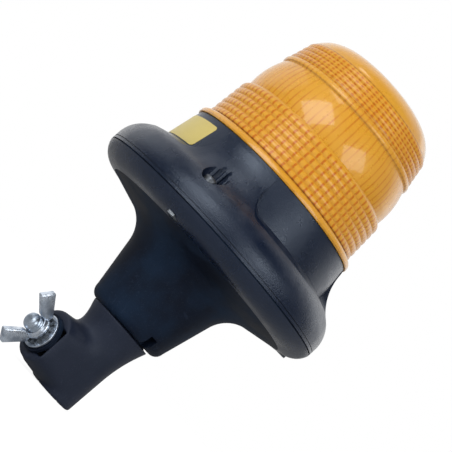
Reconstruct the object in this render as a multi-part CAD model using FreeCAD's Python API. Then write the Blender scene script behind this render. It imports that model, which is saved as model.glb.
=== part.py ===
import FreeCAD
import Part
import math
import os

# Xenon strobe beacon on a flexible pole mount, in millimetres.
# The origin is at the centre of the pole socket's mouth, +Z runs up the beacon's axis, and the clamp boss
# points along -X.

# Clearances
SLIP = 0.1            # between pieces that are assembled once
RUNNING = 0.05        # radial, between a shaft and its hole
FREE = 0.4            # between pieces that turn or slide past each other

# Pole socket
POLE_R = 12.0
POLE_CLEARANCE = 0.3
POLE_DEPTH = 30.0
SOCKET_WALL = 2.1     # at the mouth
SOCKET_EDGE = 1.6     # rounding of the mouth's outer edge
SOCKET_DRAFT = 0.6    # growth of the radius over the straight length
SOCKET_STRAIGHT = 24.0
SOCKET_HEIGHT = 52.3
SHOULDER_WIDTH = 3.2  # beyond the step
STEP_WIDTH = 1.5      # beyond the spigot
STEP_HEIGHT = 3.7
SPIGOT_R = 15.5
SPIGOT_PROUD = 3.0    # above the neck nut
SEAT_WIDTH = 1.5      # of the seat for the boot's lip, on the boss's side of the shoulder
SEAT_OFFSET = 2.2

# Clamp boss and its hardware, along -X
BOSS_Z = 19.4
BOSS_FACE_X = 31.5
BOSS_FACE_R = 16.6
BOSS_ROOT_R = 20.2
BOSS_FACE_W = 27.0     # width of the boss at its face
BOSS_ROUND = 2.4
BOSS_HOLLOW = 4.0     # radius where the boss's top meets the socket
BOSS_SADDLE = 1.4     # growth of the socket above the boss, towards the boss's side
BOSS_WINDOW_W = 23.4
BOSS_WINDOW_H = 18.7
BOSS_WINDOW_DEPTH = 6.0
STUD_R = 5.0
STUD_PITCH = 1.5
STUD_THREAD_DEPTH = 0.8
STUD_PROUD = 4.3      # beyond the nut's hub
STUD_DOME = 3.6
CLAMP_TRAVEL = 0.52   # from loose to tight on the pole
STRAP_THICKNESS = 0.9
STRAP_WIDTH = 12.0
NECK_SQUARE = 11.0    # square neck that keeps the eyebolt from turning
RUBBER_WASHER_R = 12.0
RUBBER_WASHER_T = 1.9
FLAT_WASHER_R = 10.5
FLAT_WASHER_T = 1.5
LOCK_WASHER_R = 8.8
LOCK_WASHER_T = 1.6
LOCK_TEETH = 12
LOCK_TOOTH_DEPTH = 1.8
NUT_BASE_R = 8.1
NUT_TOP_R = 6.7
NUT_HUB = 5.7
WING_SPAN = 38.2
WING_REACH = 16.0     # from the nut's base to the wing tips
WING_THICKNESS = 3.8
WING_ROUND = 1.2

# Supply contacts in the socket's top
CARRIER_R = 7.9
CARRIER_FLANGE_WIDTH = 4.6
CARRIER_FLANGE = 3.0
CONTACT_SET_BACK = 0.3     # of the contact's tip above the pole stop
CONTACT_STEM_R = 2.5
CONTACT_STEM = 8.0
CONTACT_COLLAR_R = 4.3
CONTACT_COLLAR = 2.0
CARRIER_FLOOR = 7.0        # thickness of the carrier's lower end
SPRING_CHAMBER_R = 4.8
SPRING_LENGTH = 15.0
SPRING_WIRE_R = 0.35
SPRING_TURNS = 6
EARTH_PIN_R = 1.0
EARTH_PIN_X = 10.6
TERMINAL_PROUD = 3.0
WIRE_R = 1.1
TAG_WALL = 0.5        # of the live terminal's tag round the wire
WIRE_STRAIGHT = 0.3   # share of a wire's height that is straight, at each end

# Flexible boot
LIP_GAP = 0.9         # between the socket's shoulder and the boot's lip
LIP_FLAT = 0.8        # of the lip's flat foot beyond the shoulder
LIP_WIDTH = 5.2       # of the lip's rounding
LIP_ROUND = 5.4       # height of the lip's rounding
BOOT_HEIGHT = 53.4    # from the lip to the seam with the lower ring
BOOT_TAPER = 33.4     # height above the lip where the flare starts
BOOT_TAPER_RUN = 6.1  # growth of the radius up to the flare
FLARE_IN = 19.9       # of the flare's end from the seam
FLARE_DROP = 5.0      # of the flare's end below the seam
BOOT_WALL = 3.6
BOOT_FLANGE = 5.0
BOOT_RIM = 3.6
SEAM_OUT = 7.1        # of the seam beyond the collar
SEAM_GAP = 0.25
SEAM_LAND = 1.4       # height of the rim that shows at the seam
RIM_IN = 2.2          # step of the rim above that
RIM_LIP_IN = 2.9      # of the rim's inner lip from the seam
RIM_BORE_IN = 11.3    # of the rim's bore from the seam
NOTCH_WIDTH = 5.4
NOTCH_HEIGHT = 7.4
NOTCH_DEPTH = 7.0
NECK_NUT_WALL = 4.5
NECK_NUT = 6.0
NECK_NUT_FLAT_IN = 2.0  # of its two flats from its rim

# Lower ring
WEB = 3.0
WEB_IN = 7.1          # of the web's bore from the seam
RING_HEIGHT = 9.8
RING_TOE_OUT = 3.1    # of the toe from the seam
RING_TOE_RISE = 0.6
RING_WALL = 3.0
SEAL = 0.8
SEAL_SET_BACK = 0.8
CLAMP_PLATE_T = 1.5
CLAMP_PLATE_IN = 4.9  # of its edge from the seam
CLAMP_PLATE_BORE = 24.0
EAR_END = 4.7         # beyond its screw
EAR_WIDTH = 12.0
EAR_SCREW_OUT = 1.9   # of the screw circle from the seam
EAR_BOSS_R = 4.5

# Upper housing
BRIM_LEDGE = 9.6      # of the brim's edge beyond the bolt circle
BRIM_EDGE = 4.4       # straight height of the brim's edge
BRIM_ROUND_R = 7.6
BRIM_ROUND_H = 14.5
BRIM_HEIGHT = 23.6    # from the seal to the panels' foot
BRIM_WALL = 3.0
FLOOR_EDGE_IN = 8.7   # of the sloping floor's edge under a panel, from the brim's edge
FLOOR_DROP = 3.7      # of that edge below the panel's foot
PANEL_FOOT_OUT = 3.2  # beyond the collar
PANEL_CORNER = 10.0
PANEL_SET_BACK = 0.25
FAIRING_HALF_DEG = 18.0
FAIRING_WAIST_OUT = 5.6  # beyond the collar, in the middle of the fairings' hollow curve
FAIRING_WAIST_H = 27.7  # above the seal
FAIRING_TOP_OUT = 0.6  # beyond the collar
FAIRING_TOP_DROP = 2.3  # below the collar's top
COLLAR_R = 58.8
COLLAR_HEIGHT = 44.9  # from the seal to the lens
COLLAR_WALL = 2.7
GROOVE_RISE = 1.5     # of the line above the seam
GROOVE_WIDTH = 0.5
GROOVE_DEPTH = 0.6
BOLT_COUNT = 3
BOLT_OUT = 4.5        # of the bolt circle beyond the seam
BOLT_R = 2.0
BOLT_HEAD_R = 3.9
BOLT_HEAD = 3.8
BOLT_SEAT = 14.6      # of the heads above the seal
COUNTERBORE_R = 6.7
COUNTERBORE_WALL = 2.0
GUIDE_RIB_R = 1.4
GUIDE_RIB_DEG = 42.0  # between the ribs on a bolt hole's inner wall
NUT_FLATS = 7.0
NUT_HEIGHT = 3.2
NUT_RECESS = 0.6      # of the nuts above the seam's height
BOLT_BOSS_R = 6.2

# Chassis and electronics
SHELF_DROP = 12.9     # of the shelf's top below the collar's top
SHELF = 3.0
SHELF_WIDTH = 6.9
CHASSIS_T = 1.5
CHASSIS_GAP = 0.8     # from the chassis plate's edge to the collar
NOTCH_SLACK_DEG = 2.0  # each side of a bayonet tab, so the plate passes it
SCREW_R = 1.5
SCREW_HEAD_R = 2.9
SCREW_HEAD = 2.0
SCREW_LENGTH = 7.0
CHASSIS_SCREW_IN = 3.5  # from the collar's inner wall
SPACER_R = 3.5
SPACER_LENGTH = 17.0
SPACER_IN = 8.0       # from the board's edge
BOARD_GAP = 1.2       # to the shelf's bore, so the board passes it
BOARD_T = 1.6
LEAD_HOLE_R = 11.0
LEAD_R = 0.8
LEAD_CIRCLE_R = 8.0
GROMMET_LIP = 1.2
HOLDER_R = 14.0
HOLDER_HEIGHT = 9.0
TUBE_R = 3.0
TUBE_WALL = 0.8
TUBE_SPREAD = 8.0     # of each leg from the axis
TUBE_LEG = 48.0
ELECTRODE_CAP = 6.0
TRIGGER_WIRE_R = 0.25
TRIGGER_TURNS = 5
REFLECTOR_T = 1.0
REFLECTOR_GAP = 2.5   # to the lens's skirt
REFLECTOR_RISE = 6.0
REFLECTOR_FOOT_R = 20.0
CAPACITOR_R = 7.5
CAPACITOR_LENGTH = 34.0
CAPACITOR_IN = 16.0   # from the spacers' circle
CORE_X = 22.0
CORE_Y = 12.0
CORE_HEIGHT = 15.0
WINDING_R = 6.5
TRANSFORMER_IN = 24.0 # from the board's edge
COIL_R = 5.0
COIL_LENGTH = 16.0
COIL_Y = 22.0
SINK_WIDTH = 26.0
SINK_DEPTH = 12.0
SINK_HEIGHT = 14.0
SINK_WALL = 2.0
SINK_IN = 10.0        # from the spacers' circle
TRANSISTOR_WIDTH = 10.0
TRANSISTOR_HEIGHT = 10.0
TRANSISTOR_T = 4.4
RESISTOR_R = 1.2
RESISTOR_LENGTH = 7.0
RESISTOR_COUNT = 4
RESISTOR_PITCH = 5.0
RESISTOR_X = 14.0
RESISTOR_IN = 15.0    # from the board's edge
BLOCK_WIDTH = 18.0
BLOCK_DEPTH = 10.0
BLOCK_HEIGHT = 9.0

# Lens
LENS_LIFT = 0.3       # of the flange above the collar
LENS_OVERHANG = 0.7   # of the flange beyond the collar
LENS_FLANGE = 2.0
LENS_SHOULDER = 1.9
SHOULDER_ROUND = 0.7
LENS_FLANGE_WIDTH = 3.9
LOWER_BAND = 25.5
LOWER_BAND_IN = 1.6   # of the lower band's top from its foot
LOWER_RIBS = 6
BULGE_STEP = 1.5
BULGE_IN = 1.7        # of the bulge's foot from the lower band
BULGE_SWELL = 0.3
BULGE_HEIGHT = 22.6
BULGE_TOP_IN = 3.3
RIDGE_HEIGHT = 4.4
RIDGE_OUT = 0.9
UPPER_BAND = 14.2
UPPER_FOOT_IN = 0.6
UPPER_BAND_IN = 3.2   # of the upper band's top from its foot
UPPER_RIBS = 4
RIB_HEIGHT = 0.7
DOME_EDGE_IN = 12.2   # of the dome's cap from the upper band
DOME_EDGE_H = 10.8
DOME_CAP = 4.4
LENS_WALL = 2.6
SKIRT_GAP = 2.1       # to the collar's inner wall
SKIRT_WALL = 2.0
SKIRT_DEPTH = 7.4
LUG_HEIGHT = 2.0
LUG_DEG = 20.0
GASKET_WIDTH = 1.3
GASKET_DEPTH = 1.2

# Blank label
LABEL_T = 0.2
LABEL_TOP_GAP = 3.7   # below the collar's top
LABEL_DEG = 46.0
LABEL_FOOT = 0.6      # above the panel's foot
LABEL_CORNER = 2.0
LABEL_EDGE_DEG = 9.4  # from the fairing's side

V = FreeCAD.Vector
ORIGIN = V(0, 0, 0)
UP = V(0, 0, 1)
OUT = V(-1, 0, 0)     # the way the clamp boss points

BORE_R = POLE_R + POLE_CLEARANCE
SOCKET_R = BORE_R + SOCKET_WALL
STEP_R = SPIGOT_R + STEP_WIDTH
SEAT_R = STEP_R + SEAT_WIDTH
SHOULDER_R = STEP_R + SHOULDER_WIDTH
NECK_NUT_R = SPIGOT_R + NECK_NUT_WALL
CARRIER_FLANGE_R = CARRIER_R + CARRIER_FLANGE_WIDTH
LIP_FLAT_R = SHOULDER_R + LIP_FLAT
LIP_R = LIP_FLAT_R + LIP_WIDTH
BOOT_NECK_R = LIP_R + BOOT_TAPER_RUN

# Radii, from the collar out to the brim
COLLAR_BORE_R = COLLAR_R - COLLAR_WALL
PANEL_FOOT_R = COLLAR_R + PANEL_FOOT_OUT
FAIRING_WAIST_R = COLLAR_R + FAIRING_WAIST_OUT
FAIRING_TOP_R = COLLAR_R + FAIRING_TOP_OUT
SEAM_R = COLLAR_R + SEAM_OUT
FLARE_R = SEAM_R - FLARE_IN
LIP_IN_R = SEAM_R - RIM_LIP_IN
BOOT_BORE_R = SEAM_R - RIM_BORE_IN
WEB_R = SEAM_R - WEB_IN
RING_TOE_R = SEAM_R + RING_TOE_OUT
CLAMP_PLATE_R = SEAM_R - CLAMP_PLATE_IN
EAR_SCREW_R = SEAM_R + EAR_SCREW_OUT
EAR_REACH = EAR_SCREW_R + EAR_END
BOLT_CIRCLE_R = SEAM_R + BOLT_OUT
BRIM_R = BOLT_CIRCLE_R + BRIM_LEDGE
FLOOR_EDGE_R = BRIM_R - FLOOR_EDGE_IN

# Radii, from the collar in to the lens and the chassis
LENS_FLANGE_R = COLLAR_R + LENS_OVERHANG
LENS_FOOT_R = LENS_FLANGE_R - LENS_FLANGE_WIDTH
LOWER_BAND_R = LENS_FOOT_R - LOWER_BAND_IN
BULGE_FOOT_R = LOWER_BAND_R - BULGE_IN
BULGE_R = BULGE_FOOT_R + BULGE_SWELL
BULGE_TOP_R = BULGE_FOOT_R - BULGE_TOP_IN
RIDGE_R = BULGE_TOP_R + RIDGE_OUT
UPPER_FOOT_R = BULGE_TOP_R - UPPER_FOOT_IN
UPPER_BAND_R = UPPER_FOOT_R - UPPER_BAND_IN
DOME_EDGE_R = UPPER_BAND_R - DOME_EDGE_IN
SKIRT_R = COLLAR_BORE_R - SKIRT_GAP
SHELF_R = COLLAR_BORE_R - SHELF_WIDTH
CHASSIS_SCREW_R = COLLAR_BORE_R - CHASSIS_SCREW_IN
REFLECTOR_R = SKIRT_R - SKIRT_WALL - REFLECTOR_GAP
BOARD_R = SHELF_R - BOARD_GAP
SPACER_CIRCLE_R = BOARD_R - SPACER_IN
CAPACITOR_X = SPACER_CIRCLE_R - CAPACITOR_IN
TRANSFORMER_X = TRANSFORMER_IN - BOARD_R
SINK_Y = SINK_IN - SPACER_CIRCLE_R
RESISTOR_Y = BOARD_R - RESISTOR_IN

TURN = 360.0
TINY = 1e-4           # lengths below this count as nothing
BOLT_ANGLES = [90.0 + TURN / BOLT_COUNT * k for k in range(BOLT_COUNT)]
MID_ANGLES = [angle - TURN / BOLT_COUNT / 2 for angle in BOLT_ANGLES]
PANEL_HALF_DEG = TURN / BOLT_COUNT / 2 - FAIRING_HALF_DEG

# Heights, from the socket's mouth up
Z_STOP = POLE_DEPTH
Z_SHOULDER = SOCKET_HEIGHT
Z_STEP = Z_SHOULDER + STEP_HEIGHT
Z_BOOT_FLANGE = Z_STEP + BOOT_FLANGE
Z_NECK_NUT = Z_BOOT_FLANGE + NECK_NUT
Z_SPIGOT = Z_NECK_NUT + SPIGOT_PROUD
Z_CARRIER = Z_SPIGOT + CARRIER_FLANGE
Z_LIP = Z_SHOULDER + LIP_GAP
Z_SEAM = Z_LIP + BOOT_HEIGHT
Z_WEB = Z_SEAM + BOOT_RIM
Z_WEB_TOP = Z_WEB + WEB
Z_PLATE = Z_WEB_TOP + BOOT_RIM
Z_RING_TOP = Z_SEAM + RING_HEIGHT
Z_HOUSING = Z_RING_TOP + SEAL
Z_PANEL = Z_HOUSING + BRIM_HEIGHT
Z_COLLAR = Z_HOUSING + COLLAR_HEIGHT
Z_BOLT_SEAT = Z_HOUSING + BOLT_SEAT
Z_NUT_FOOT = Z_SEAM + NUT_RECESS
Z_SHELF = Z_COLLAR - SHELF_DROP
Z_CHASSIS = Z_SHELF + CHASSIS_T
Z_BOARD = Z_SHELF - SPACER_LENGTH
Z_HOLDER = Z_CHASSIS + HOLDER_HEIGHT
Z_LENS = Z_COLLAR + LENS_LIFT
Z_CARRIER_FOOT = Z_STOP + CONTACT_SET_BACK + CONTACT_STEM - CARRIER_FLOOR
Z_CHAMBER = Z_CARRIER_FOOT + CARRIER_FLOOR
Z_COLLAR_TOP = Z_CHAMBER + CONTACT_COLLAR
Z_SPRING_SEAT = Z_COLLAR_TOP + SPRING_LENGTH
Z_TERMINAL = Z_CARRIER + TERMINAL_PROUD

# Places along the clamp's axis, as distances from the beacon's axis
X_RUBBER = BOSS_FACE_X + RUBBER_WASHER_T
X_FLAT = X_RUBBER + FLAT_WASHER_T
X_NUT = X_FLAT + LOCK_WASHER_T
X_HUB = X_NUT + NUT_HUB
X_TIP = X_HUB + STUD_PROUD


def outline(start, *steps):
    """Closed face in the X-Z plane. A step is a corner, or a pair of an arc's middle and its end."""
    edges = []
    here = V(start[0], 0, start[1])
    for step in steps + (start,):
        if isinstance(step[0], tuple):
            middle = V(step[0][0], 0, step[0][1])
            end = V(step[1][0], 0, step[1][1])
            edges.append(Part.Arc(here, middle, end).toShape())
        else:
            end = V(step[0], 0, step[1])
            if end.distanceToPoint(here) < TINY:
                continue
            edges.append(Part.LineSegment(here, end).toShape())
        here = end
    return Part.Face(Part.Wire(edges))


def turned(start, *steps):
    """Solid of revolution about the beacon's axis."""
    return outline(start, *steps).revolve(ORIGIN, UP, TURN)


def rod(radius, z_low, z_high, x=0.0, y=0.0):
    return Part.makeCylinder(radius, z_high - z_low, V(x, y, z_low), UP)


def ring(r_in, r_out, z_low, z_high, x=0.0, y=0.0):
    return rod(r_out, z_low, z_high, x, y).cut(rod(r_in, z_low, z_high, x, y))


def clamp_rod(radius, x_near, x_far):
    """Cylinder along the clamp's axis, between two distances from the beacon's axis."""
    return Part.makeCylinder(radius, x_far - x_near, V(-x_near, 0, BOSS_Z), OUT)


def block(size_x, size_y, z_low, z_high, x=0.0, y=0.0):
    return Part.makeBox(size_x, size_y, z_high - z_low, V(x - size_x / 2, y - size_y / 2, z_low))


def hexagon(flats, z_low, z_high):
    """Hexagonal prism with a flat towards +X."""
    corner = flats / math.sqrt(3)
    points = []
    for k in range(7):
        angle = math.radians(30 + 60 * k)
        points.append(V(corner * math.cos(angle), corner * math.sin(angle), z_low))
    return Part.Face(Part.makePolygon(points)).extrude(V(0, 0, z_high - z_low))


def at_angle(shape, angle):
    copy = shape.copy()
    copy.rotate(ORIGIN, UP, angle)
    return copy


def around(shape, angles):
    return [at_angle(shape, angle) for angle in angles]


def sector(start, *steps, half_deg):
    """Part of a solid of revolution, centred on +X."""
    face = at_angle(outline(start, *steps), -half_deg)
    return face.revolve(ORIGIN, UP, 2 * half_deg)


def on_circle(radius, angle):
    turn = math.radians(angle)
    return radius * math.cos(turn), radius * math.sin(turn)


def save(name, *shapes):
    shape = shapes[0] if len(shapes) == 1 else Part.makeCompound(list(shapes))
    shape.exportStep("parts/" + name + ".step")


def screw(radius, head_r, head, length, z_seat):
    """Pan-head screw on the axis, pointing down from its seat, with a cross recess."""
    body = rod(radius, z_seat - length, z_seat)
    top = rod(head_r, z_seat, z_seat + head)
    top = top.makeFillet(head * 0.4, [top.Edges[0]])
    slot_width = head_r * 0.28
    slot = block(head_r * 1.1, slot_width, z_seat + head * 0.55, z_seat + head)
    cross = slot.fuse(at_angle(slot, 90))
    return body.fuse(top).cut(cross)


# Pole socket and clamp

def socket_outline():
    z_waist = SOCKET_STRAIGHT
    waist_r = SOCKET_R + SOCKET_DRAFT
    rise = Z_SHOULDER - z_waist
    growth = SHOULDER_R - waist_r
    corner = SOCKET_EDGE * (1 - math.sqrt(0.5))
    return turned(
        (BORE_R, 0),
        (SOCKET_R - SOCKET_EDGE, 0),
        ((SOCKET_R - corner, corner), (SOCKET_R, SOCKET_EDGE)),
        (waist_r, z_waist),
        ((waist_r + growth * 0.32, z_waist + rise * 0.55), (SHOULDER_R, Z_SHOULDER)),
        (STEP_R, Z_SHOULDER),
        (STEP_R, Z_STEP),
        (SPIGOT_R, Z_STEP),
        (SPIGOT_R, Z_SPIGOT),
        (CARRIER_R + SLIP, Z_SPIGOT),
        (CARRIER_R + SLIP, Z_STOP),
        (BORE_R, Z_STOP),
    )


def clamp_boss():
    """Tapered round boss with flattened sides that run into the socket's sides."""
    boss = Part.makeCone(BOSS_ROOT_R, BOSS_FACE_R, BOSS_FACE_X, V(0, 0, BOSS_Z), OUT)
    waist_r = SOCKET_R + SOCKET_DRAFT
    plan = [(0, -waist_r), (-BOSS_FACE_X, -BOSS_FACE_W / 2), (-BOSS_FACE_X, BOSS_FACE_W / 2), (0, waist_r)]
    points = [V(x, y, SOCKET_EDGE / 2) for x, y in plan]
    sides = Part.Face(Part.makePolygon(points + points[:1])).extrude(V(0, 0, Z_SHOULDER))
    boss = boss.common(sides)
    rim = [edge for edge in boss.Edges if edge.BoundBox.XMax < -BOSS_FACE_X + TINY]
    return boss.makeFillet(BOSS_ROUND, rim)


def socket_with_boss():
    """Socket and boss, with a round hollow where the boss's top meets the socket."""
    body = socket_outline().fuse(clamp_boss())
    body = body.cut(rod(BORE_R, -SLIP, Z_STOP)).cut(rod(CARRIER_R + SLIP, Z_STOP, Z_SPIGOT)).removeSplitter()
    z_crest = BOSS_Z + BOSS_FACE_R
    crest = [edge for edge in body.Edges if z_crest < edge.BoundBox.ZMax < Z_SHOULDER - FREE]
    crest = [edge for edge in crest if -SHOULDER_R < edge.BoundBox.XMin < -SOCKET_R]
    return body.makeFillet(BOSS_HOLLOW, crest)


def saddle():
    """Growth of the socket's waist above the boss, and the seat under the boot's lip on that side."""
    skin = socket_outline()
    skin.translate(OUT * BOSS_SADDLE)
    keep = block(4 * SHOULDER_R, 4 * SHOULDER_R, BOSS_Z, Z_SHOULDER)
    hollow = rod(SPIGOT_R, BOSS_Z, Z_SHOULDER)
    seat = rod(SEAT_R, Z_SHOULDER - LIP_GAP, Z_LIP - SLIP / 2, x=-SEAT_OFFSET)
    seat = seat.cut(rod(STEP_R, Z_SHOULDER - LIP_GAP, Z_LIP))
    return skin.common(keep).cut(hollow).fuse(seat)


def strap_groove():
    """Room in the bore for the eyebolt's ring, over its travel."""
    radius = POLE_R + CLAMP_TRAVEL + STRAP_THICKNESS + SLIP
    half = STRAP_WIDTH / 2 + SLIP
    at_rest = rod(radius, BOSS_Z - half, BOSS_Z + half)
    pulled = at_rest.copy()
    pulled.translate(OUT * CLAMP_TRAVEL)
    bridge = block(CLAMP_TRAVEL, 2 * radius, BOSS_Z - half, BOSS_Z + half, x=-CLAMP_TRAVEL / 2)
    return at_rest.fuse(pulled).fuse(bridge)


def pole_socket():
    body = socket_with_boss().fuse(saddle()).cut(strap_groove())
    neck = NECK_SQUARE + 2 * SLIP
    passage = Part.makeBox(BOSS_FACE_X, neck, neck, V(-BOSS_FACE_X, -neck / 2, BOSS_Z - neck / 2))
    window = Part.makeBox(
        BOSS_WINDOW_DEPTH,
        BOSS_WINDOW_W,
        BOSS_WINDOW_H,
        V(-BOSS_FACE_X, -BOSS_WINDOW_W / 2, BOSS_Z - BOSS_WINDOW_H / 2),
    )
    earth_hole = rod(EARTH_PIN_R + SLIP, Z_STOP - SLIP, Z_SPIGOT + SLIP, x=EARTH_PIN_X)
    return body.cut(passage).cut(window).cut(earth_hole).removeSplitter()


def clamp_eyebolt():
    inner = POLE_R + CLAMP_TRAVEL
    outer = inner + STRAP_THICKNESS
    half = STRAP_WIDTH / 2
    strap = ring(inner, outer, BOSS_Z - half, BOSS_Z + half)
    neck_end = BOSS_FACE_X - BOSS_WINDOW_DEPTH
    neck = Part.makeBox(
        neck_end - inner,
        NECK_SQUARE,
        NECK_SQUARE,
        V(-neck_end, -NECK_SQUARE / 2, BOSS_Z - NECK_SQUARE / 2),
    )
    stud = clamp_rod(STUD_R, inner + STRAP_THICKNESS / 2, X_TIP)
    tip_edge = max(stud.Edges, key=lambda edge: -edge.BoundBox.XMax)
    stud = stud.makeFillet(STUD_DOME, [tip_edge])
    thread_length = X_TIP - STUD_DOME - X_NUT
    for k in range(int(thread_length / STUD_PITCH)):
        x = X_NUT + STUD_PITCH * (k + 0.5)
        root = STUD_R - STUD_THREAD_DEPTH
        down = Part.makeCone(STUD_R, root, STUD_PITCH / 2, V(-x, 0, BOSS_Z), OUT)
        up = Part.makeCone(root, STUD_R, STUD_PITCH / 2, V(-x - STUD_PITCH / 2, 0, BOSS_Z), OUT)
        stud = stud.cut(clamp_rod(STUD_R + SLIP, x, x + STUD_PITCH).cut(down.fuse(up)))
    body = strap.fuse(neck).cut(rod(inner, BOSS_Z - NECK_SQUARE, BOSS_Z + NECK_SQUARE))
    return body.fuse(stud).removeSplitter()


def rubber_washer():
    hole = clamp_rod(STUD_R + FREE, BOSS_FACE_X, X_RUBBER)
    return clamp_rod(RUBBER_WASHER_R, BOSS_FACE_X, X_RUBBER).cut(hole)


def flat_washer():
    disc = clamp_rod(FLAT_WASHER_R, X_RUBBER, X_FLAT)
    rims = [edge for edge in disc.Edges if edge.Closed]
    disc = disc.makeFillet(FLAT_WASHER_T * 0.3, rims)
    return disc.cut(clamp_rod(STUD_R + FREE, X_RUBBER, X_FLAT))


def lock_washer():
    """External-tooth washer: gaps between the teeth are cut from its rim."""
    disc = clamp_rod(LOCK_WASHER_R, X_FLAT, X_NUT).cut(clamp_rod(STUD_R + FREE, X_FLAT, X_NUT))
    gap_width = math.pi * LOCK_WASHER_R / LOCK_TEETH
    gap = Part.makeBox(
        LOCK_WASHER_T,
        gap_width,
        LOCK_TOOTH_DEPTH,
        V(-X_NUT, -gap_width / 2, BOSS_Z + LOCK_WASHER_R - LOCK_TOOTH_DEPTH),
    )
    for k in range(LOCK_TEETH):
        cut = gap.copy()
        cut.rotate(V(0, 0, BOSS_Z), OUT, TURN / LOCK_TEETH * (k + 0.5))
        disc = disc.cut(cut)
    return disc


def wing():
    """One wing in the plane through the clamp's axis, splayed outwards."""
    half_span = WING_SPAN / 2
    foot = 0.04 * WING_REACH
    corners = [
        (foot, NUT_BASE_R * 0.6),
        (foot, 0.52 * half_span),
        (0.75 * WING_REACH, half_span),
        (WING_REACH, 0.62 * half_span),
        (0.42 * WING_REACH, NUT_TOP_R * 0.82),
    ]
    points = [V(-X_NUT - along, -WING_THICKNESS / 2, BOSS_Z + height) for along, height in corners]
    plate = Part.Face(Part.makePolygon(points + points[:1])).extrude(V(0, WING_THICKNESS, 0))
    across = [edge for edge in plate.Edges if edge.BoundBox.YLength > WING_THICKNESS / 2]
    tips = [edge for edge in across if edge.BoundBox.ZMin > BOSS_Z + 0.6 * half_span]
    plate = plate.makeFillet(WING_ROUND, tips)
    outer = [edge for edge in plate.Edges if edge.BoundBox.ZMax > BOSS_Z + 0.6 * half_span]
    outer = [edge for edge in outer if edge.BoundBox.YLength < WING_THICKNESS / 2]
    return plate.makeFillet(WING_THICKNESS * 0.2, outer)


def wing_nut():
    hub = Part.makeCone(NUT_BASE_R, NUT_TOP_R, NUT_HUB, V(-X_NUT, 0, BOSS_Z), OUT)
    upper = wing()
    lower = upper.copy()
    lower.rotate(V(0, 0, BOSS_Z), OUT, TURN / 2)
    body = hub.fuse(upper).fuse(lower)
    return body.cut(clamp_rod(STUD_R + RUNNING, X_NUT - SLIP, X_TIP + WING_REACH)).removeSplitter()


# Supply contacts

def contact_carrier():
    return turned(
        (CONTACT_STEM_R + RUNNING, Z_CARRIER_FOOT),
        (CARRIER_R, Z_CARRIER_FOOT),
        (CARRIER_R, Z_SPIGOT),
        (CARRIER_FLANGE_R, Z_SPIGOT),
        (CARRIER_FLANGE_R, Z_CARRIER),
        (SPRING_CHAMBER_R, Z_CARRIER),
        (SPRING_CHAMBER_R, Z_CHAMBER),
        (CONTACT_STEM_R + RUNNING, Z_CHAMBER),
    ).cut(rod(EARTH_PIN_R + SLIP, Z_SPIGOT, Z_CARRIER, x=EARTH_PIN_X))


def centre_contact():
    stem = rod(CONTACT_STEM_R, Z_STOP + CONTACT_SET_BACK, Z_CHAMBER)
    stem = stem.makeFillet(CONTACT_STEM_R * 0.5, [min(stem.Edges, key=lambda edge: edge.BoundBox.ZMax)])
    return stem.fuse(rod(CONTACT_COLLAR_R, Z_CHAMBER, Z_COLLAR_TOP))


def contact_spring():
    """Compression spring between the contact's collar and the live terminal."""
    mean_r = CONTACT_STEM_R + (SPRING_CHAMBER_R - CONTACT_STEM_R) / 2
    z_low = Z_COLLAR_TOP + SPRING_WIRE_R + SLIP / 2
    height = SPRING_LENGTH - 2 * SPRING_WIRE_R - SLIP
    helix = Part.makeHelix(height / SPRING_TURNS, height, mean_r)
    helix.translate(V(0, 0, z_low))
    section = Part.Wire(Part.makeCircle(SPRING_WIRE_R, V(mean_r, 0, z_low), V(0, 1, 0)))
    return Part.Wire(helix.Edges).makePipeShell([section], True, True)


def live_terminal():
    plug = rod(SPRING_CHAMBER_R - SLIP, Z_SPRING_SEAT, Z_CARRIER)
    return plug.fuse(rod(WIRE_R + TAG_WALL, Z_CARRIER, Z_TERMINAL))


def earth_contact():
    return rod(EARTH_PIN_R, Z_STOP, Z_TERMINAL, x=EARTH_PIN_X)


def wire(x_low, x_high):
    """Supply wire from a contact's tag up into the terminal block, with one easy offset on its way."""
    z_low = Z_TERMINAL
    z_high = Z_BOARD - BOARD_T - BLOCK_HEIGHT
    z_first = z_low + (z_high - z_low) * WIRE_STRAIGHT
    z_second = z_high - (z_high - z_low) * WIRE_STRAIGHT
    corners = [V(x_low, 0, z_low), V(x_low, 0, z_first), V(x_high, 0, z_second), V(x_high, 0, z_high)]
    lean = math.atan2(abs(x_high - x_low), z_second - z_first)
    radius = 0.45 * (z_first - z_low) / math.tan(lean / 2)
    edges = []
    here = corners[0]
    for before, corner, after in zip(corners, corners[1:], corners[2:]):
        back = (before - corner).normalize()
        ahead = (after - corner).normalize()
        trim = radius * math.tan(lean / 2)
        start = corner + back * trim
        end = corner + ahead * trim
        bisector = (back + ahead).normalize()
        middle = corner + bisector * (radius / math.cos(lean / 2) - radius)
        edges.append(Part.LineSegment(here, start).toShape())
        edges.append(Part.Arc(start, middle, end).toShape())
        here = end
    edges.append(Part.LineSegment(here, corners[-1]).toShape())
    section = Part.Wire(Part.makeCircle(WIRE_R, corners[0], UP))
    return Part.Wire(edges).makePipeShell([section], True, True)


# Flexible neck and lower ring

def boot_points():
    """Corner points that the boot's outer and inner sides share."""
    z_flare = Z_LIP + BOOT_TAPER
    z_flare_end = Z_SEAM - FLARE_DROP
    run = FLARE_R - BOOT_NECK_R
    rise = z_flare_end - z_flare
    middle = (BOOT_NECK_R + run * 0.35, z_flare + rise * 0.63)
    return z_flare, z_flare_end, middle


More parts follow.
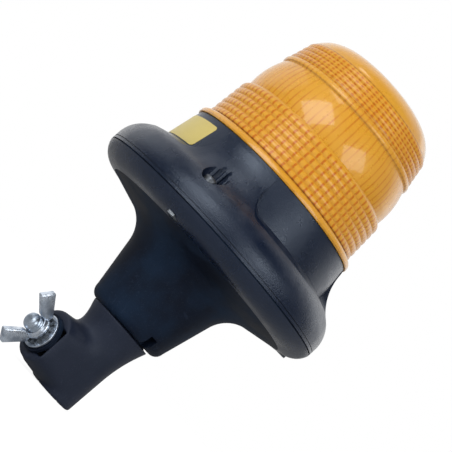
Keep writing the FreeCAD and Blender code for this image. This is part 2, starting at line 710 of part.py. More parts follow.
def flex_boot():
    z_flare, z_flare_end, middle = boot_points()
    z_lip_top = Z_LIP + LIP_ROUND
    lip_run = LIP_R - LIP_FLAT_R
    inner_foot = LIP_R - BOOT_WALL
    groove_r = WEB_R - SLIP
    body = turned(
        (STEP_R + FREE, Z_LIP),
        (LIP_FLAT_R, Z_LIP),
        ((LIP_FLAT_R + lip_run * 0.69, Z_LIP + LIP_ROUND * 0.31), (LIP_R, z_lip_top)),
        (BOOT_NECK_R, z_flare),
        (middle, (FLARE_R, z_flare_end)),
        (SEAM_R, Z_SEAM),
        (SEAM_R, Z_SEAM + SEAM_LAND),
        (SEAM_R - RIM_IN, Z_SEAM + SEAM_LAND),
        (SEAM_R - RIM_IN, Z_WEB),
        (groove_r, Z_WEB),
        (groove_r, Z_WEB_TOP),
        (LIP_IN_R, Z_WEB_TOP),
        (LIP_IN_R, Z_PLATE),
        (BOOT_BORE_R, Z_PLATE),
        (BOOT_BORE_R, Z_SEAM + BOOT_WALL / 2),
        (FLARE_R - BOOT_WALL * 0.3, z_flare_end + BOOT_WALL),
        ((middle[0] - BOOT_WALL * 0.75, middle[1] + BOOT_WALL * 0.65), (BOOT_NECK_R - BOOT_WALL, z_flare)),
        (inner_foot, Z_BOOT_FLANGE),
        (SPIGOT_R + SLIP, Z_BOOT_FLANGE),
        (SPIGOT_R + SLIP, Z_STEP),
        (STEP_R + FREE, Z_STEP),
    )
    notch = block(NOTCH_WIDTH, NOTCH_DEPTH, Z_LIP, Z_LIP + NOTCH_HEIGHT, y=-LIP_R)
    return body.cut(notch)


def neck_nut():
    nut = ring(SPIGOT_R + RUNNING, NECK_NUT_R, Z_BOOT_FLANGE, Z_NECK_NUT)
    flats = block(2 * NECK_NUT_R, 2 * (NECK_NUT_R - NECK_NUT_FLAT_IN), Z_BOOT_FLANGE, Z_NECK_NUT)
    return nut.common(flats)


def housing_bolt_holes(radius, z_low, z_high):
    holes = around(rod(radius, z_low, z_high, x=BOLT_CIRCLE_R), BOLT_ANGLES)
    return holes[0].multiFuse(holes[1:])


def nut_at_bolt(flats, z_low, z_high):
    prism = hexagon(flats, z_low, z_high)
    prism.translate(V(BOLT_CIRCLE_R, 0, 0))
    return prism


def lower_ring():
    z_toe = Z_SEAM + RING_TOE_RISE
    run = BRIM_R - RING_TOE_R
    rise = Z_RING_TOP - z_toe
    wall_r = BRIM_R - RING_WALL
    inner_foot = SEAM_R + SEAM_GAP
    body = turned(
        (inner_foot, Z_SEAM),
        (RING_TOE_R, z_toe),
        ((RING_TOE_R + run * 0.67, z_toe + rise * 0.35), (BRIM_R, Z_RING_TOP)),
        (wall_r, Z_RING_TOP),
        (wall_r, Z_WEB_TOP),
        (WEB_R, Z_WEB_TOP),
        (WEB_R, Z_WEB),
        (inner_foot - RIM_IN, Z_WEB),
        (inner_foot - RIM_IN, Z_SEAM + SEAM_LAND + SLIP),
        (inner_foot, Z_SEAM + SEAM_LAND + SLIP),
    )
    bolt_boss = rod(BOLT_BOSS_R, Z_WEB_TOP, Z_RING_TOP, x=BOLT_CIRCLE_R)
    ear_boss = rod(EAR_BOSS_R, Z_WEB_TOP, Z_PLATE, x=EAR_SCREW_R)
    body = body.multiFuse(around(bolt_boss, BOLT_ANGLES) + around(ear_boss, MID_ANGLES))
    pocket = nut_at_bolt(NUT_FLATS + 2 * SLIP, Z_SEAM - NUT_HEIGHT, Z_NUT_FOOT + NUT_HEIGHT)
    for cut in around(pocket, BOLT_ANGLES):
        body = body.cut(cut)
    body = body.cut(housing_bolt_holes(BOLT_R + SLIP, Z_SEAM, Z_RING_TOP))
    ear_hole = rod(SCREW_R + SLIP / 2, Z_PLATE + CLAMP_PLATE_T - SCREW_LENGTH, Z_PLATE, x=EAR_SCREW_R)
    for cut in around(ear_hole, MID_ANGLES):
        body = body.cut(cut)
    return body


def boot_clamp_plate():
    plate = rod(CLAMP_PLATE_R, Z_PLATE, Z_PLATE + CLAMP_PLATE_T)
    ear = block(EAR_REACH, EAR_WIDTH, Z_PLATE, Z_PLATE + CLAMP_PLATE_T, x=EAR_REACH / 2)
    plate = plate.multiFuse(around(ear, MID_ANGLES))
    hole = rod(SCREW_R + SLIP, Z_PLATE, Z_PLATE + CLAMP_PLATE_T, x=EAR_SCREW_R)
    for cut in around(hole, MID_ANGLES):
        plate = plate.cut(cut)
    return plate.cut(rod(CLAMP_PLATE_BORE, Z_PLATE, Z_PLATE + CLAMP_PLATE_T)).removeSplitter()


def screws_at(radius, angles, z_seat):
    one = screw(SCREW_R, SCREW_HEAD_R, SCREW_HEAD, SCREW_LENGTH, z_seat)
    one.translate(V(radius, 0, 0))
    return around(one, angles)


def housing_seal():
    inner = BRIM_R - RING_WALL + SLIP
    return ring(inner, BRIM_R - SEAL_SET_BACK, Z_RING_TOP, Z_HOUSING)


# Upper housing

def panel_r(z):
    """Radius of the plain panels at a height."""
    share = (z - Z_PANEL) / (Z_COLLAR - Z_PANEL)
    return PANEL_FOOT_R + (COLLAR_R - PANEL_SET_BACK - PANEL_FOOT_R) * share


def housing_skin():
    """Solid body of revolution with the fairings' section all round."""
    z_edge = Z_HOUSING + BRIM_EDGE
    z_waist = Z_HOUSING + FAIRING_WAIST_H
    z_top = Z_COLLAR - FAIRING_TOP_DROP
    z_line = Z_HOUSING + GROOVE_RISE
    round_middle = (BRIM_R - BRIM_ROUND_R * 0.24, z_edge + BRIM_ROUND_H * 0.53)
    return turned(
        (0, Z_HOUSING),
        (BRIM_R, Z_HOUSING),
        (BRIM_R, z_line),
        (BRIM_R - GROOVE_DEPTH, z_line),
        (BRIM_R - GROOVE_DEPTH, z_line + GROOVE_WIDTH),
        (BRIM_R, z_line + GROOVE_WIDTH),
        (BRIM_R, z_edge),
        (round_middle, (BRIM_R - BRIM_ROUND_R, z_edge + BRIM_ROUND_H)),
        ((FAIRING_WAIST_R, z_waist), (FAIRING_TOP_R, z_top)),
        (COLLAR_R, Z_COLLAR),
        (0, Z_COLLAR),
    )


def housing_hollow():
    """Room inside the brim and the collar."""
    z_edge = Z_HOUSING + BRIM_EDGE
    wall = BRIM_WALL
    round_middle = (BRIM_R - BRIM_ROUND_R * 0.24 - wall * 0.9, z_edge + BRIM_ROUND_H * 0.53 - wall * 0.5)
    inner = COLLAR_BORE_R
    return turned(
        (0, Z_HOUSING),
        (BRIM_R - wall, Z_HOUSING),
        (BRIM_R - wall, z_edge),
        (round_middle, (FLOOR_EDGE_R - wall * 0.6, Z_PANEL - FLOOR_DROP - wall)),
        (PANEL_FOOT_R - wall, Z_PANEL - wall),
        (inner, Z_SHELF - SHELF),
        (inner, Z_COLLAR + SLIP),
        (0, Z_COLLAR + SLIP),
    )


def panel_cut():
    """Window that leaves one plain panel between two fairings, with a sloping floor and round corners."""
    over = BRIM_R + FREE
    z_top = Z_COLLAR + FREE
    slope = FLOOR_DROP / (FLOOR_EDGE_R - PANEL_FOOT_R)
    z_low = Z_PANEL - slope * (over - PANEL_FOOT_R)
    tool = sector(
        (panel_r(Z_PANEL), Z_PANEL),
        (over, z_low),
        (over, z_top),
        (panel_r(z_top), z_top),
        half_deg=PANEL_HALF_DEG,
    )
    lines = [edge for edge in tool.Edges if edge.Curve.TypeId == "Part::GeomLine"]
    low_lines = [edge for edge in lines if edge.BoundBox.ZMin < z_low + FREE]
    corners = [edge for edge in low_lines if edge.BoundBox.ZMax < Z_PANEL + FREE]
    return tool.makeFillet(PANEL_CORNER, corners)


def collar_tab():
    """Inward bayonet tab of the collar, over the lens's lug."""
    z_low = Z_LENS - SKIRT_DEPTH + LUG_HEIGHT + FREE
    inner = SKIRT_R + FREE
    outer = COLLAR_BORE_R + SLIP
    return sector(
        (inner, z_low),
        (outer, z_low),
        (outer, z_low + LUG_HEIGHT),
        (inner, z_low + LUG_HEIGHT),
        half_deg=LUG_DEG / 2,
    )


def guide_ribs():
    """Ribs on the inner half of a bolt hole's wall."""
    ribs_here = []
    for step in (-1, 0, 1):
        x, y = on_circle(COUNTERBORE_R, TURN / 2 + GUIDE_RIB_DEG * step)
        ribs_here.append(rod(GUIDE_RIB_R, Z_BOLT_SEAT, Z_COLLAR, x=BOLT_CIRCLE_R + x, y=y))
    return ribs_here


def upper_housing():
    outer = housing_skin()
    for cut in around(panel_cut(), MID_ANGLES):
        outer = outer.cut(cut)
    shell = outer.cut(housing_hollow())
    shelf = ring(SHELF_R, COLLAR_BORE_R + SLIP, Z_SHELF - SHELF, Z_SHELF)
    boss = rod(COUNTERBORE_R + COUNTERBORE_WALL, Z_HOUSING, Z_COLLAR, x=BOLT_CIRCLE_R)
    bosses = [solid.common(outer) for solid in around(boss, BOLT_ANGLES)]
    body = shell.multiFuse([shelf] + bosses + around(collar_tab(), BOLT_ANGLES))
    well = rod(COUNTERBORE_R, Z_BOLT_SEAT, Z_COLLAR, x=BOLT_CIRCLE_R)
    for rib in guide_ribs():
        well = well.cut(rib)
    for cut in around(well, BOLT_ANGLES):
        body = body.cut(cut)
    body = body.cut(housing_bolt_holes(BOLT_R + SLIP, Z_HOUSING, Z_BOLT_SEAT))
    body = body.cut(gasket_ring(0.0))
    hole = rod(SCREW_R + SLIP / 2, Z_CHASSIS - SCREW_LENGTH, Z_SHELF, x=CHASSIS_SCREW_R)
    for cut in around(hole, MID_ANGLES):
        body = body.cut(cut)
    return body


def gasket_ring(clearance):
    middle = COLLAR_R - PANEL_SET_BACK - COLLAR_WALL / 2
    half = GASKET_WIDTH / 2 - clearance
    return ring(middle - half, middle + half, Z_COLLAR - GASKET_DEPTH, Z_LENS - RUNNING)


def housing_bolts():
    length = Z_BOLT_SEAT - Z_NUT_FOOT
    one = screw(BOLT_R, BOLT_HEAD_R, BOLT_HEAD, length, Z_BOLT_SEAT)
    one.translate(V(BOLT_CIRCLE_R, 0, 0))
    return around(one, BOLT_ANGLES)


def housing_nuts():
    nut = nut_at_bolt(NUT_FLATS, Z_NUT_FOOT, Z_NUT_FOOT + NUT_HEIGHT)
    hole = rod(BOLT_R + RUNNING, Z_NUT_FOOT, Z_NUT_FOOT + NUT_HEIGHT, x=BOLT_CIRCLE_R)
    return around(nut.cut(hole), BOLT_ANGLES)


def blank_label():
    """Thin sticker on the panel to the left of the front fairing, with rounded corners."""
    z_low = Z_PANEL + LABEL_FOOT
    z_high = Z_COLLAR - LABEL_TOP_GAP
    skin = turned(
        (panel_r(z_low), z_low),
        (panel_r(z_low) + LABEL_T, z_low),
        (panel_r(z_high) + LABEL_T, z_high),
        (panel_r(z_high), z_high),
    )
    half_width = panel_r(z_low) * math.sin(math.radians(LABEL_DEG / 2))
    sheet = Part.makeBox(BRIM_R, 2 * half_width, z_high - z_low, V(0, -half_width, z_low))
    corners = [edge for edge in sheet.Edges if edge.BoundBox.XLength > BRIM_R / 2]
    sheet = sheet.makeFillet(LABEL_CORNER, corners)
    centre = BOLT_ANGLES[1] - FAIRING_HALF_DEG - LABEL_EDGE_DEG - LABEL_DEG / 2
    return at_angle(skin.common(sheet), centre)


# Chassis and electronics

def chassis_plate():
    edge = COLLAR_BORE_R - CHASSIS_GAP
    plate = ring(LEAD_HOLE_R, edge, Z_SHELF, Z_CHASSIS)
    tab_r = SKIRT_R + FREE - SLIP
    notch = sector(
        (tab_r, Z_SHELF),
        (COLLAR_R, Z_SHELF),
        (COLLAR_R, Z_CHASSIS),
        (tab_r, Z_CHASSIS),
        half_deg=LUG_DEG / 2 + NOTCH_SLACK_DEG,
    )
    for cut in around(notch, BOLT_ANGLES):
        plate = plate.cut(cut)
    hole = rod(SCREW_R + SLIP, Z_SHELF, Z_CHASSIS, x=CHASSIS_SCREW_R)
    for cut in around(hole, MID_ANGLES):
        plate = plate.cut(cut)
    return plate


def board_spacers():
    post = ring(SCREW_R + SLIP / 2, SPACER_R, Z_BOARD, Z_SHELF, x=SPACER_CIRCLE_R)
    return around(post, MID_ANGLES)


def board_screws():
    """Screws that come up through the board into the spacers."""
    one = screw(SCREW_R, SCREW_HEAD_R, SCREW_HEAD, SCREW_LENGTH, 0)
    one.rotate(ORIGIN, V(1, 0, 0), 180)
    one.translate(V(SPACER_CIRCLE_R, 0, Z_BOARD - BOARD_T))
    return around(one, MID_ANGLES)


def circuit_board():
    board = rod(BOARD_R, Z_BOARD - BOARD_T, Z_BOARD)
    hole = rod(SCREW_R + SLIP, Z_BOARD - BOARD_T, Z_BOARD, x=SPACER_CIRCLE_R)
    for cut in around(hole, MID_ANGLES):
        board = board.cut(cut)
    return board


def storage_capacitor():
    z = Z_BOARD + CAPACITOR_R
    start = V(CAPACITOR_X, -CAPACITOR_LENGTH / 2, z)
    can = Part.makeCylinder(CAPACITOR_R, CAPACITOR_LENGTH, start, V(0, 1, 0))
    rims = [edge for edge in can.Edges if edge.Closed]
    return can.makeFillet(CAPACITOR_R * 0.12, rims)


def inverter_transformer():
    """Ferrite E-core with its winding between the legs."""
    core = block(CORE_X, CORE_Y, Z_BOARD, Z_BOARD + CORE_HEIGHT, x=TRANSFORMER_X)
    leg = CORE_X / 6
    yoke = CORE_HEIGHT / 5
    window = block(CORE_X - 2 * leg, CORE_Y, Z_BOARD + yoke, Z_BOARD + CORE_HEIGHT - yoke, x=TRANSFORMER_X)
    winding = rod(WINDING_R, Z_BOARD + yoke, Z_BOARD + CORE_HEIGHT - yoke, x=TRANSFORMER_X)
    return core.cut(window).fuse(winding).removeSplitter()


def trigger_coil():
    start = V(-COIL_LENGTH / 2, COIL_Y, Z_BOARD + COIL_R)
    coil = Part.makeCylinder(COIL_R, COIL_LENGTH, start, V(1, 0, 0))
    cheek = COIL_LENGTH / 8
    slot = Part.makeCylinder(COIL_R, COIL_LENGTH - 2 * cheek, start + V(cheek, 0, 0), V(1, 0, 0))
    core = Part.makeCylinder(COIL_R * 0.8, COIL_LENGTH - 2 * cheek, start + V(cheek, 0, 0), V(1, 0, 0))
    return coil.cut(slot.cut(core))


def heat_sink():
    outer = block(SINK_WIDTH, SINK_DEPTH, Z_BOARD, Z_BOARD + SINK_HEIGHT, y=SINK_Y)
    inner = block(
        SINK_WIDTH - 2 * SINK_WALL,
        SINK_DEPTH - SINK_WALL,
        Z_BOARD,
        Z_BOARD + SINK_HEIGHT,
        y=SINK_Y + SINK_WALL / 2,
    )
    return outer.cut(inner)


def power_transistor():
    y = SINK_Y - SINK_DEPTH / 2 + SINK_WALL + TRANSISTOR_T / 2
    return block(TRANSISTOR_WIDTH, TRANSISTOR_T, Z_BOARD, Z_BOARD + TRANSISTOR_HEIGHT, y=y)


def resistors():
    bodies = []
    for k in range(RESISTOR_COUNT):
        x = RESISTOR_X - RESISTOR_PITCH * k
        start = V(x, RESISTOR_Y, Z_BOARD + RESISTOR_R)
        bodies.append(Part.makeCylinder(RESISTOR_R, RESISTOR_LENGTH, start, V(0, 1, 0)))
    return bodies


def terminal_block():
    z_top = Z_BOARD - BOARD_T
    return block(BLOCK_WIDTH, BLOCK_DEPTH, z_top - BLOCK_HEIGHT, z_top)


def tube_leads():
    lead = rod(LEAD_R, Z_BOARD, Z_CHASSIS, x=LEAD_CIRCLE_R)
    return around(lead, BOLT_ANGLES)


def lead_grommet():
    inner = LEAD_CIRCLE_R + LEAD_R + FREE
    sleeve = ring(inner, LEAD_HOLE_R - SLIP, Z_SHELF - GROMMET_LIP, Z_CHASSIS)
    lip = ring(inner, LEAD_HOLE_R + GROMMET_LIP, Z_SHELF - GROMMET_LIP, Z_SHELF)
    return sleeve.fuse(lip).removeSplitter()


def tube_legs(shape):
    """The shape on both legs of the tube."""
    shapes = []
    for side in (-1, 1):
        copy = shape.copy()
        copy.translate(V(side * TUBE_SPREAD, 0, 0))
        shapes.append(copy)
    return shapes


def tube_holder():
    body = rod(HOLDER_R, Z_CHASSIS, Z_HOLDER)
    body = body.makeFillet(HOLDER_HEIGHT * 0.15, [max(body.Edges, key=lambda edge: edge.BoundBox.ZMin)])
    for seat in tube_legs(rod(TUBE_R + SLIP, Z_HOLDER - ELECTRODE_CAP / 2, Z_HOLDER)):
        body = body.cut(seat)
    return body


def tube_path():
    z_low = Z_HOLDER + ELECTRODE_CAP / 2
    z_high = z_low + TUBE_LEG
    left = V(-TUBE_SPREAD, 0, z_high)
    right = V(TUBE_SPREAD, 0, z_high)
    edges = [
        Part.LineSegment(V(-TUBE_SPREAD, 0, z_low), left).toShape(),
        Part.Arc(left, V(0, 0, z_high + TUBE_SPREAD), right).toShape(),
        Part.LineSegment(right, V(TUBE_SPREAD, 0, z_low)).toShape(),
    ]
    return Part.Wire(edges)


def flash_tube():
    start = V(-TUBE_SPREAD, 0, Z_HOLDER + ELECTRODE_CAP / 2)
    outer = tube_path().makePipeShell([Part.Wire(Part.makeCircle(TUBE_R, start, UP))], True, True)
    bore = tube_path().makePipeShell([Part.Wire(Part.makeCircle(TUBE_R - TUBE_WALL, start, UP))], True, True)
    return outer.cut(bore)


def tube_electrodes():
    """Metal caps that close the tube's ends and stand in the holder."""
    cap = rod(TUBE_R, Z_HOLDER - ELECTRODE_CAP / 2, Z_HOLDER + ELECTRODE_CAP / 2)
    tip = rod(TUBE_R - TUBE_WALL - SLIP, Z_HOLDER + ELECTRODE_CAP / 2, Z_HOLDER + ELECTRODE_CAP)
    return tube_legs(cap.fuse(tip))


def trigger_wire():
    """Fine wire wound round one leg of the tube."""
    mean_r = TUBE_R + TRIGGER_WIRE_R + SLIP
    z_low = Z_HOLDER + ELECTRODE_CAP / 2
    helix = Part.makeHelix(TUBE_LEG / TRIGGER_TURNS, TUBE_LEG, mean_r)
    helix.translate(V(TUBE_SPREAD, 0, z_low))
    section = Part.Wire(Part.makeCircle(TRIGGER_WIRE_R, V(TUBE_SPREAD + mean_r, 0, z_low), V(0, 1, 0)))
    coil = Part.Wire(helix.Edges).makePipeShell([section], True, True)
    tail = rod(TRIGGER_WIRE_R, Z_HOLDER, z_low, x=TUBE_SPREAD + mean_r)
    return coil.fuse(tail)


def reflector():
    """Shallow dish round the tube holder, standing on the chassis plate."""
    hub = HOLDER_R + FREE
    z_rim = Z_CHASSIS + REFLECTOR_RISE
    return turned(
        (hub, Z_CHASSIS),
        (REFLECTOR_FOOT_R, Z_CHASSIS),
        (REFLECTOR_R, z_rim),
        (REFLECTOR_R, z_rim + REFLECTOR_T),
        (REFLECTOR_FOOT_R, Z_CHASSIS + REFLECTOR_T),
        (hub, Z_CHASSIS + REFLECTOR_T),
    )


# Lens

def ribs(r_low, z_low, r_high, z_high, count):
    """Steps of a row of round ribs up a band."""
    steps = []
    for k in range(count):
        middle = (k + 0.5) / count
        end = (k + 1) / count
        crest = (r_low + (r_high - r_low) * middle + RIB_HEIGHT, z_low + (z_high - z_low) * middle)
        steps.append((crest, (r_low + (r_high - r_low) * end, z_low + (z_high - z_low) * end)))
    return steps


def lens():
    z_flange = Z_LENS + LENS_FLANGE
    z_foot = z_flange + LENS_SHOULDER
    z_band = z_foot + LOWER_BAND
    z_bulge = z_band + BULGE_STEP
    z_ridge = z_bulge + BULGE_HEIGHT
    z_upper = z_ridge + RIDGE_HEIGHT
    z_dome = z_upper + UPPER_BAND
    z_edge = z_dome + DOME_EDGE_H
    z_top = z_edge + DOME_CAP
    foot_edge_r = LENS_FOOT_R + (LENS_FLANGE_R - LENS_FOOT_R) * 0.45
    edge_run = UPPER_BAND_R - DOME_EDGE_R
    cap = z_top - z_edge
    edge_middle = (UPPER_BAND_R - edge_run * 0.4, z_dome + DOME_EDGE_H * 0.62)
    dome_r = (DOME_EDGE_R ** 2 + cap ** 2) / (2 * cap)
    half_lean = math.asin(DOME_EDGE_R / dome_r) / 2
    lean = V(math.sin(half_lean), 0, math.cos(half_lean))
    inside = LENS_WALL
    inner_middle = (edge_middle[0] - inside * 0.9, edge_middle[1] - inside * 0.8)
    inner_r = dome_r - inside
    inner_edge_r = DOME_EDGE_R * inner_r / dome_r
    z_inner_edge = z_top - dome_r + math.sqrt(inner_r ** 2 - inner_edge_r ** 2)
    body = turned(
        (SKIRT_R, Z_LENS),
        (LENS_FLANGE_R, Z_LENS),
        (LENS_FLANGE_R, z_flange),
        ((LENS_FLANGE_R - SHOULDER_ROUND, z_foot - LENS_SHOULDER * 0.4), (foot_edge_r, z_foot)),
        (LENS_FOOT_R, z_foot),
        *ribs(LENS_FOOT_R, z_foot, LOWER_BAND_R, z_band, LOWER_RIBS),
        (BULGE_FOOT_R, z_bulge),
        ((BULGE_R, z_bulge + BULGE_HEIGHT * 0.34), (BULGE_TOP_R, z_ridge)),
        ((RIDGE_R, z_ridge + RIDGE_HEIGHT * 0.45), (UPPER_FOOT_R, z_upper)),
        *ribs(UPPER_FOOT_R, z_upper, UPPER_BAND_R, z_dome, UPPER_RIBS),
        (edge_middle, (DOME_EDGE_R, z_edge)),
        ((dome_r * lean.x, z_top - dome_r + dome_r * lean.z), (0, z_top)),
        (0, z_top - inside),
        ((inner_r * lean.x, z_top - dome_r + inner_r * lean.z), (inner_edge_r, z_inner_edge)),
        (inner_middle, (UPPER_BAND_R - inside, z_dome - inside)),
        (BULGE_TOP_R - inside, z_ridge),
        (BULGE_FOOT_R - inside, z_bulge),
        (LENS_FOOT_R - inside, z_foot),
        (SKIRT_R - SKIRT_WALL, Z_LENS),
        (SKIRT_R - SKIRT_WALL, Z_LENS - SKIRT_DEPTH),
        (SKIRT_R, Z_LENS - SKIRT_DEPTH),
    )
    lug_out = COLLAR_BORE_R - FREE
    z_lug = Z_LENS - SKIRT_DEPTH
    lug = sector(
        (SKIRT_R - SKIRT_WALL / 2, z_lug),
        (lug_out, z_lug),
        (lug_out, z_lug + LUG_HEIGHT),
        (SKIRT_R - SKIRT_WALL / 2, z_lug + LUG_HEIGHT),
        half_deg=LUG_DEG / 2,
    )
    return body.multiFuse(around(lug, BOLT_ANGLES)).removeSplitter()


def build():
    os.makedirs("parts", exist_ok=True)
    save("pole_socket", pole_socket())
    save("clamp_eyebolt", clamp_eyebolt())
    save("rubber_washer", rubber_washer())
    save("flat_washer", flat_washer())
    save("lock_washer", lock_washer())
    save("wing_nut", wing_nut())
    save("contact_carrier", contact_carrier())
    save("centre_contact", centre_contact())
    save("contact_spring", contact_spring())
    save("live_terminal", live_terminal())
    save("earth_contact", earth_contact())
    save("live_wire", wire(0.0, -BLOCK_WIDTH / 4))
    save("earth_wire", wire(EARTH_PIN_X, BLOCK_WIDTH / 4))
    save("neck_nut", neck_nut())
    save("flex_boot", flex_boot())
    save("lower_ring", lower_ring())
    save("boot_clamp_plate", boot_clamp_plate())
    save("plate_screws", *screws_at(EAR_SCREW_R, MID_ANGLES, Z_PLATE + CLAMP_PLATE_T))
    save("housing_seal", housing_seal())
    save("upper_housing", upper_housing())
    save("housing_bolts", *housing_bolts())
    save("housing_nuts", *housing_nuts())
    save("blank_label", blank_label())
    save("chassis_plate", chassis_plate())
    save("chassis_screws", *screws_at(CHASSIS_SCREW_R, MID_ANGLES, Z_CHASSIS))
    save("board_spacers", *board_spacers())
    save("board_screws", *board_screws())
    save("circuit_board", circuit_board())
    save("storage_capacitor", storage_capacitor())
    save("inverter_transformer", inverter_transformer())
    save("trigger_coil", trigger_coil())
    save("heat_sink", heat_sink())
    save("power_transistor", power_transistor())
    save("resistors", *resistors())
    save("terminal_block", terminal_block())
    save("tube_leads", *tube_leads())
    save("lead_grommet", lead_grommet())
    save("tube_holder", tube_holder())
    save("flash_tube", flash_tube())
    save("tube_electrodes", *tube_electrodes())
    save("trigger_wire", trigger_wire())
    save("reflector", reflector())
    save("lens_gasket", gasket_ring(SLIP))
    save("lens", lens())


build()
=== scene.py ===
"""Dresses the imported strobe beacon: its lens, rubber neck, pole socket, wing nut and contact
spring, the finishes of all pieces, the studio and the camera.

Lengths in the fields are millimetres in the part's own frame: the origin is the middle of the
pole socket's mouth and +Z runs up to the lens. Noise scales are features per metre, and the
studio's lengths are metres.
"""
import logging
import math
from dataclasses import dataclass
from enum import Enum
from functools import cache
from typing import Iterable, Optional, Union

import bmesh
import bpy
from mathutils import Matrix, Vector


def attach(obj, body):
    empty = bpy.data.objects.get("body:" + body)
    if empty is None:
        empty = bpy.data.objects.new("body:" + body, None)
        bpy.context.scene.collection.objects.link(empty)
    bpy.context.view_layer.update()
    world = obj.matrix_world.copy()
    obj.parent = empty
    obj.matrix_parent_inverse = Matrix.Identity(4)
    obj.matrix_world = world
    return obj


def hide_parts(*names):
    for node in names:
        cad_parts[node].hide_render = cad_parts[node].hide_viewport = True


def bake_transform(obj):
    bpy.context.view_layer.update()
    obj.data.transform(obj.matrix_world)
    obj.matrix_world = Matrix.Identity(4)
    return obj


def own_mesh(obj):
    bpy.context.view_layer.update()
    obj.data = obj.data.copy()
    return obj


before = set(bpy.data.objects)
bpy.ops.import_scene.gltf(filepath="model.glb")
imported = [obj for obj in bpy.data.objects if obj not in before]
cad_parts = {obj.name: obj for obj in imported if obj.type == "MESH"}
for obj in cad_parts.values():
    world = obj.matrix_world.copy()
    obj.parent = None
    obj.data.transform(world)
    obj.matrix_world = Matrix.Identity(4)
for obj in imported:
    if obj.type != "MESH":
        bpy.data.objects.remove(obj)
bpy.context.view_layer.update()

LOG = logging.getLogger("beacon")
MM = 0.001
TURN = 2.0 * math.pi
MERGE = 1e-6
SHARP = math.radians(32.0)
NOISE_LOW, NOISE_HIGH = 0.3, 0.7

Colour = tuple[float, float, float]
Socket = bpy.types.NodeSocket
Feed = Union[Socket, float]

EVEN: Colour = (1.0, 1.0, 1.0)


class Body(str, Enum):
    """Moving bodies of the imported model."""

    MOUNT = "mount_base"
    NUT = "wing_nut"
    LENS = "lens"
    HEAD = "head"


class Slot(str, Enum):
    """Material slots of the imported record."""

    AMBER = "amber_plastic"
    PLASTIC = "black_plastic"
    RUBBER = "black_rubber"
    ZINC = "zinc_steel"
    NYLON = "nylon"
    BRASS = "brass"
    RED_WIRE = "red_insulation"
    DARK_WIRE = "dark_insulation"
    LABEL = "label_yellow"
    ALUMINIUM = "aluminium"
    SLEEVE = "capacitor_sleeve"
    BOARD = "board_green"
    FERRITE = "ferrite"
    COIL = "coil_yellow"
    CHIP = "component_black"
    RESISTOR = "resistor_tan"
    CERAMIC = "ceramic"
    QUARTZ = "quartz"
    MIRROR = "bright_reflector"


# Node trees


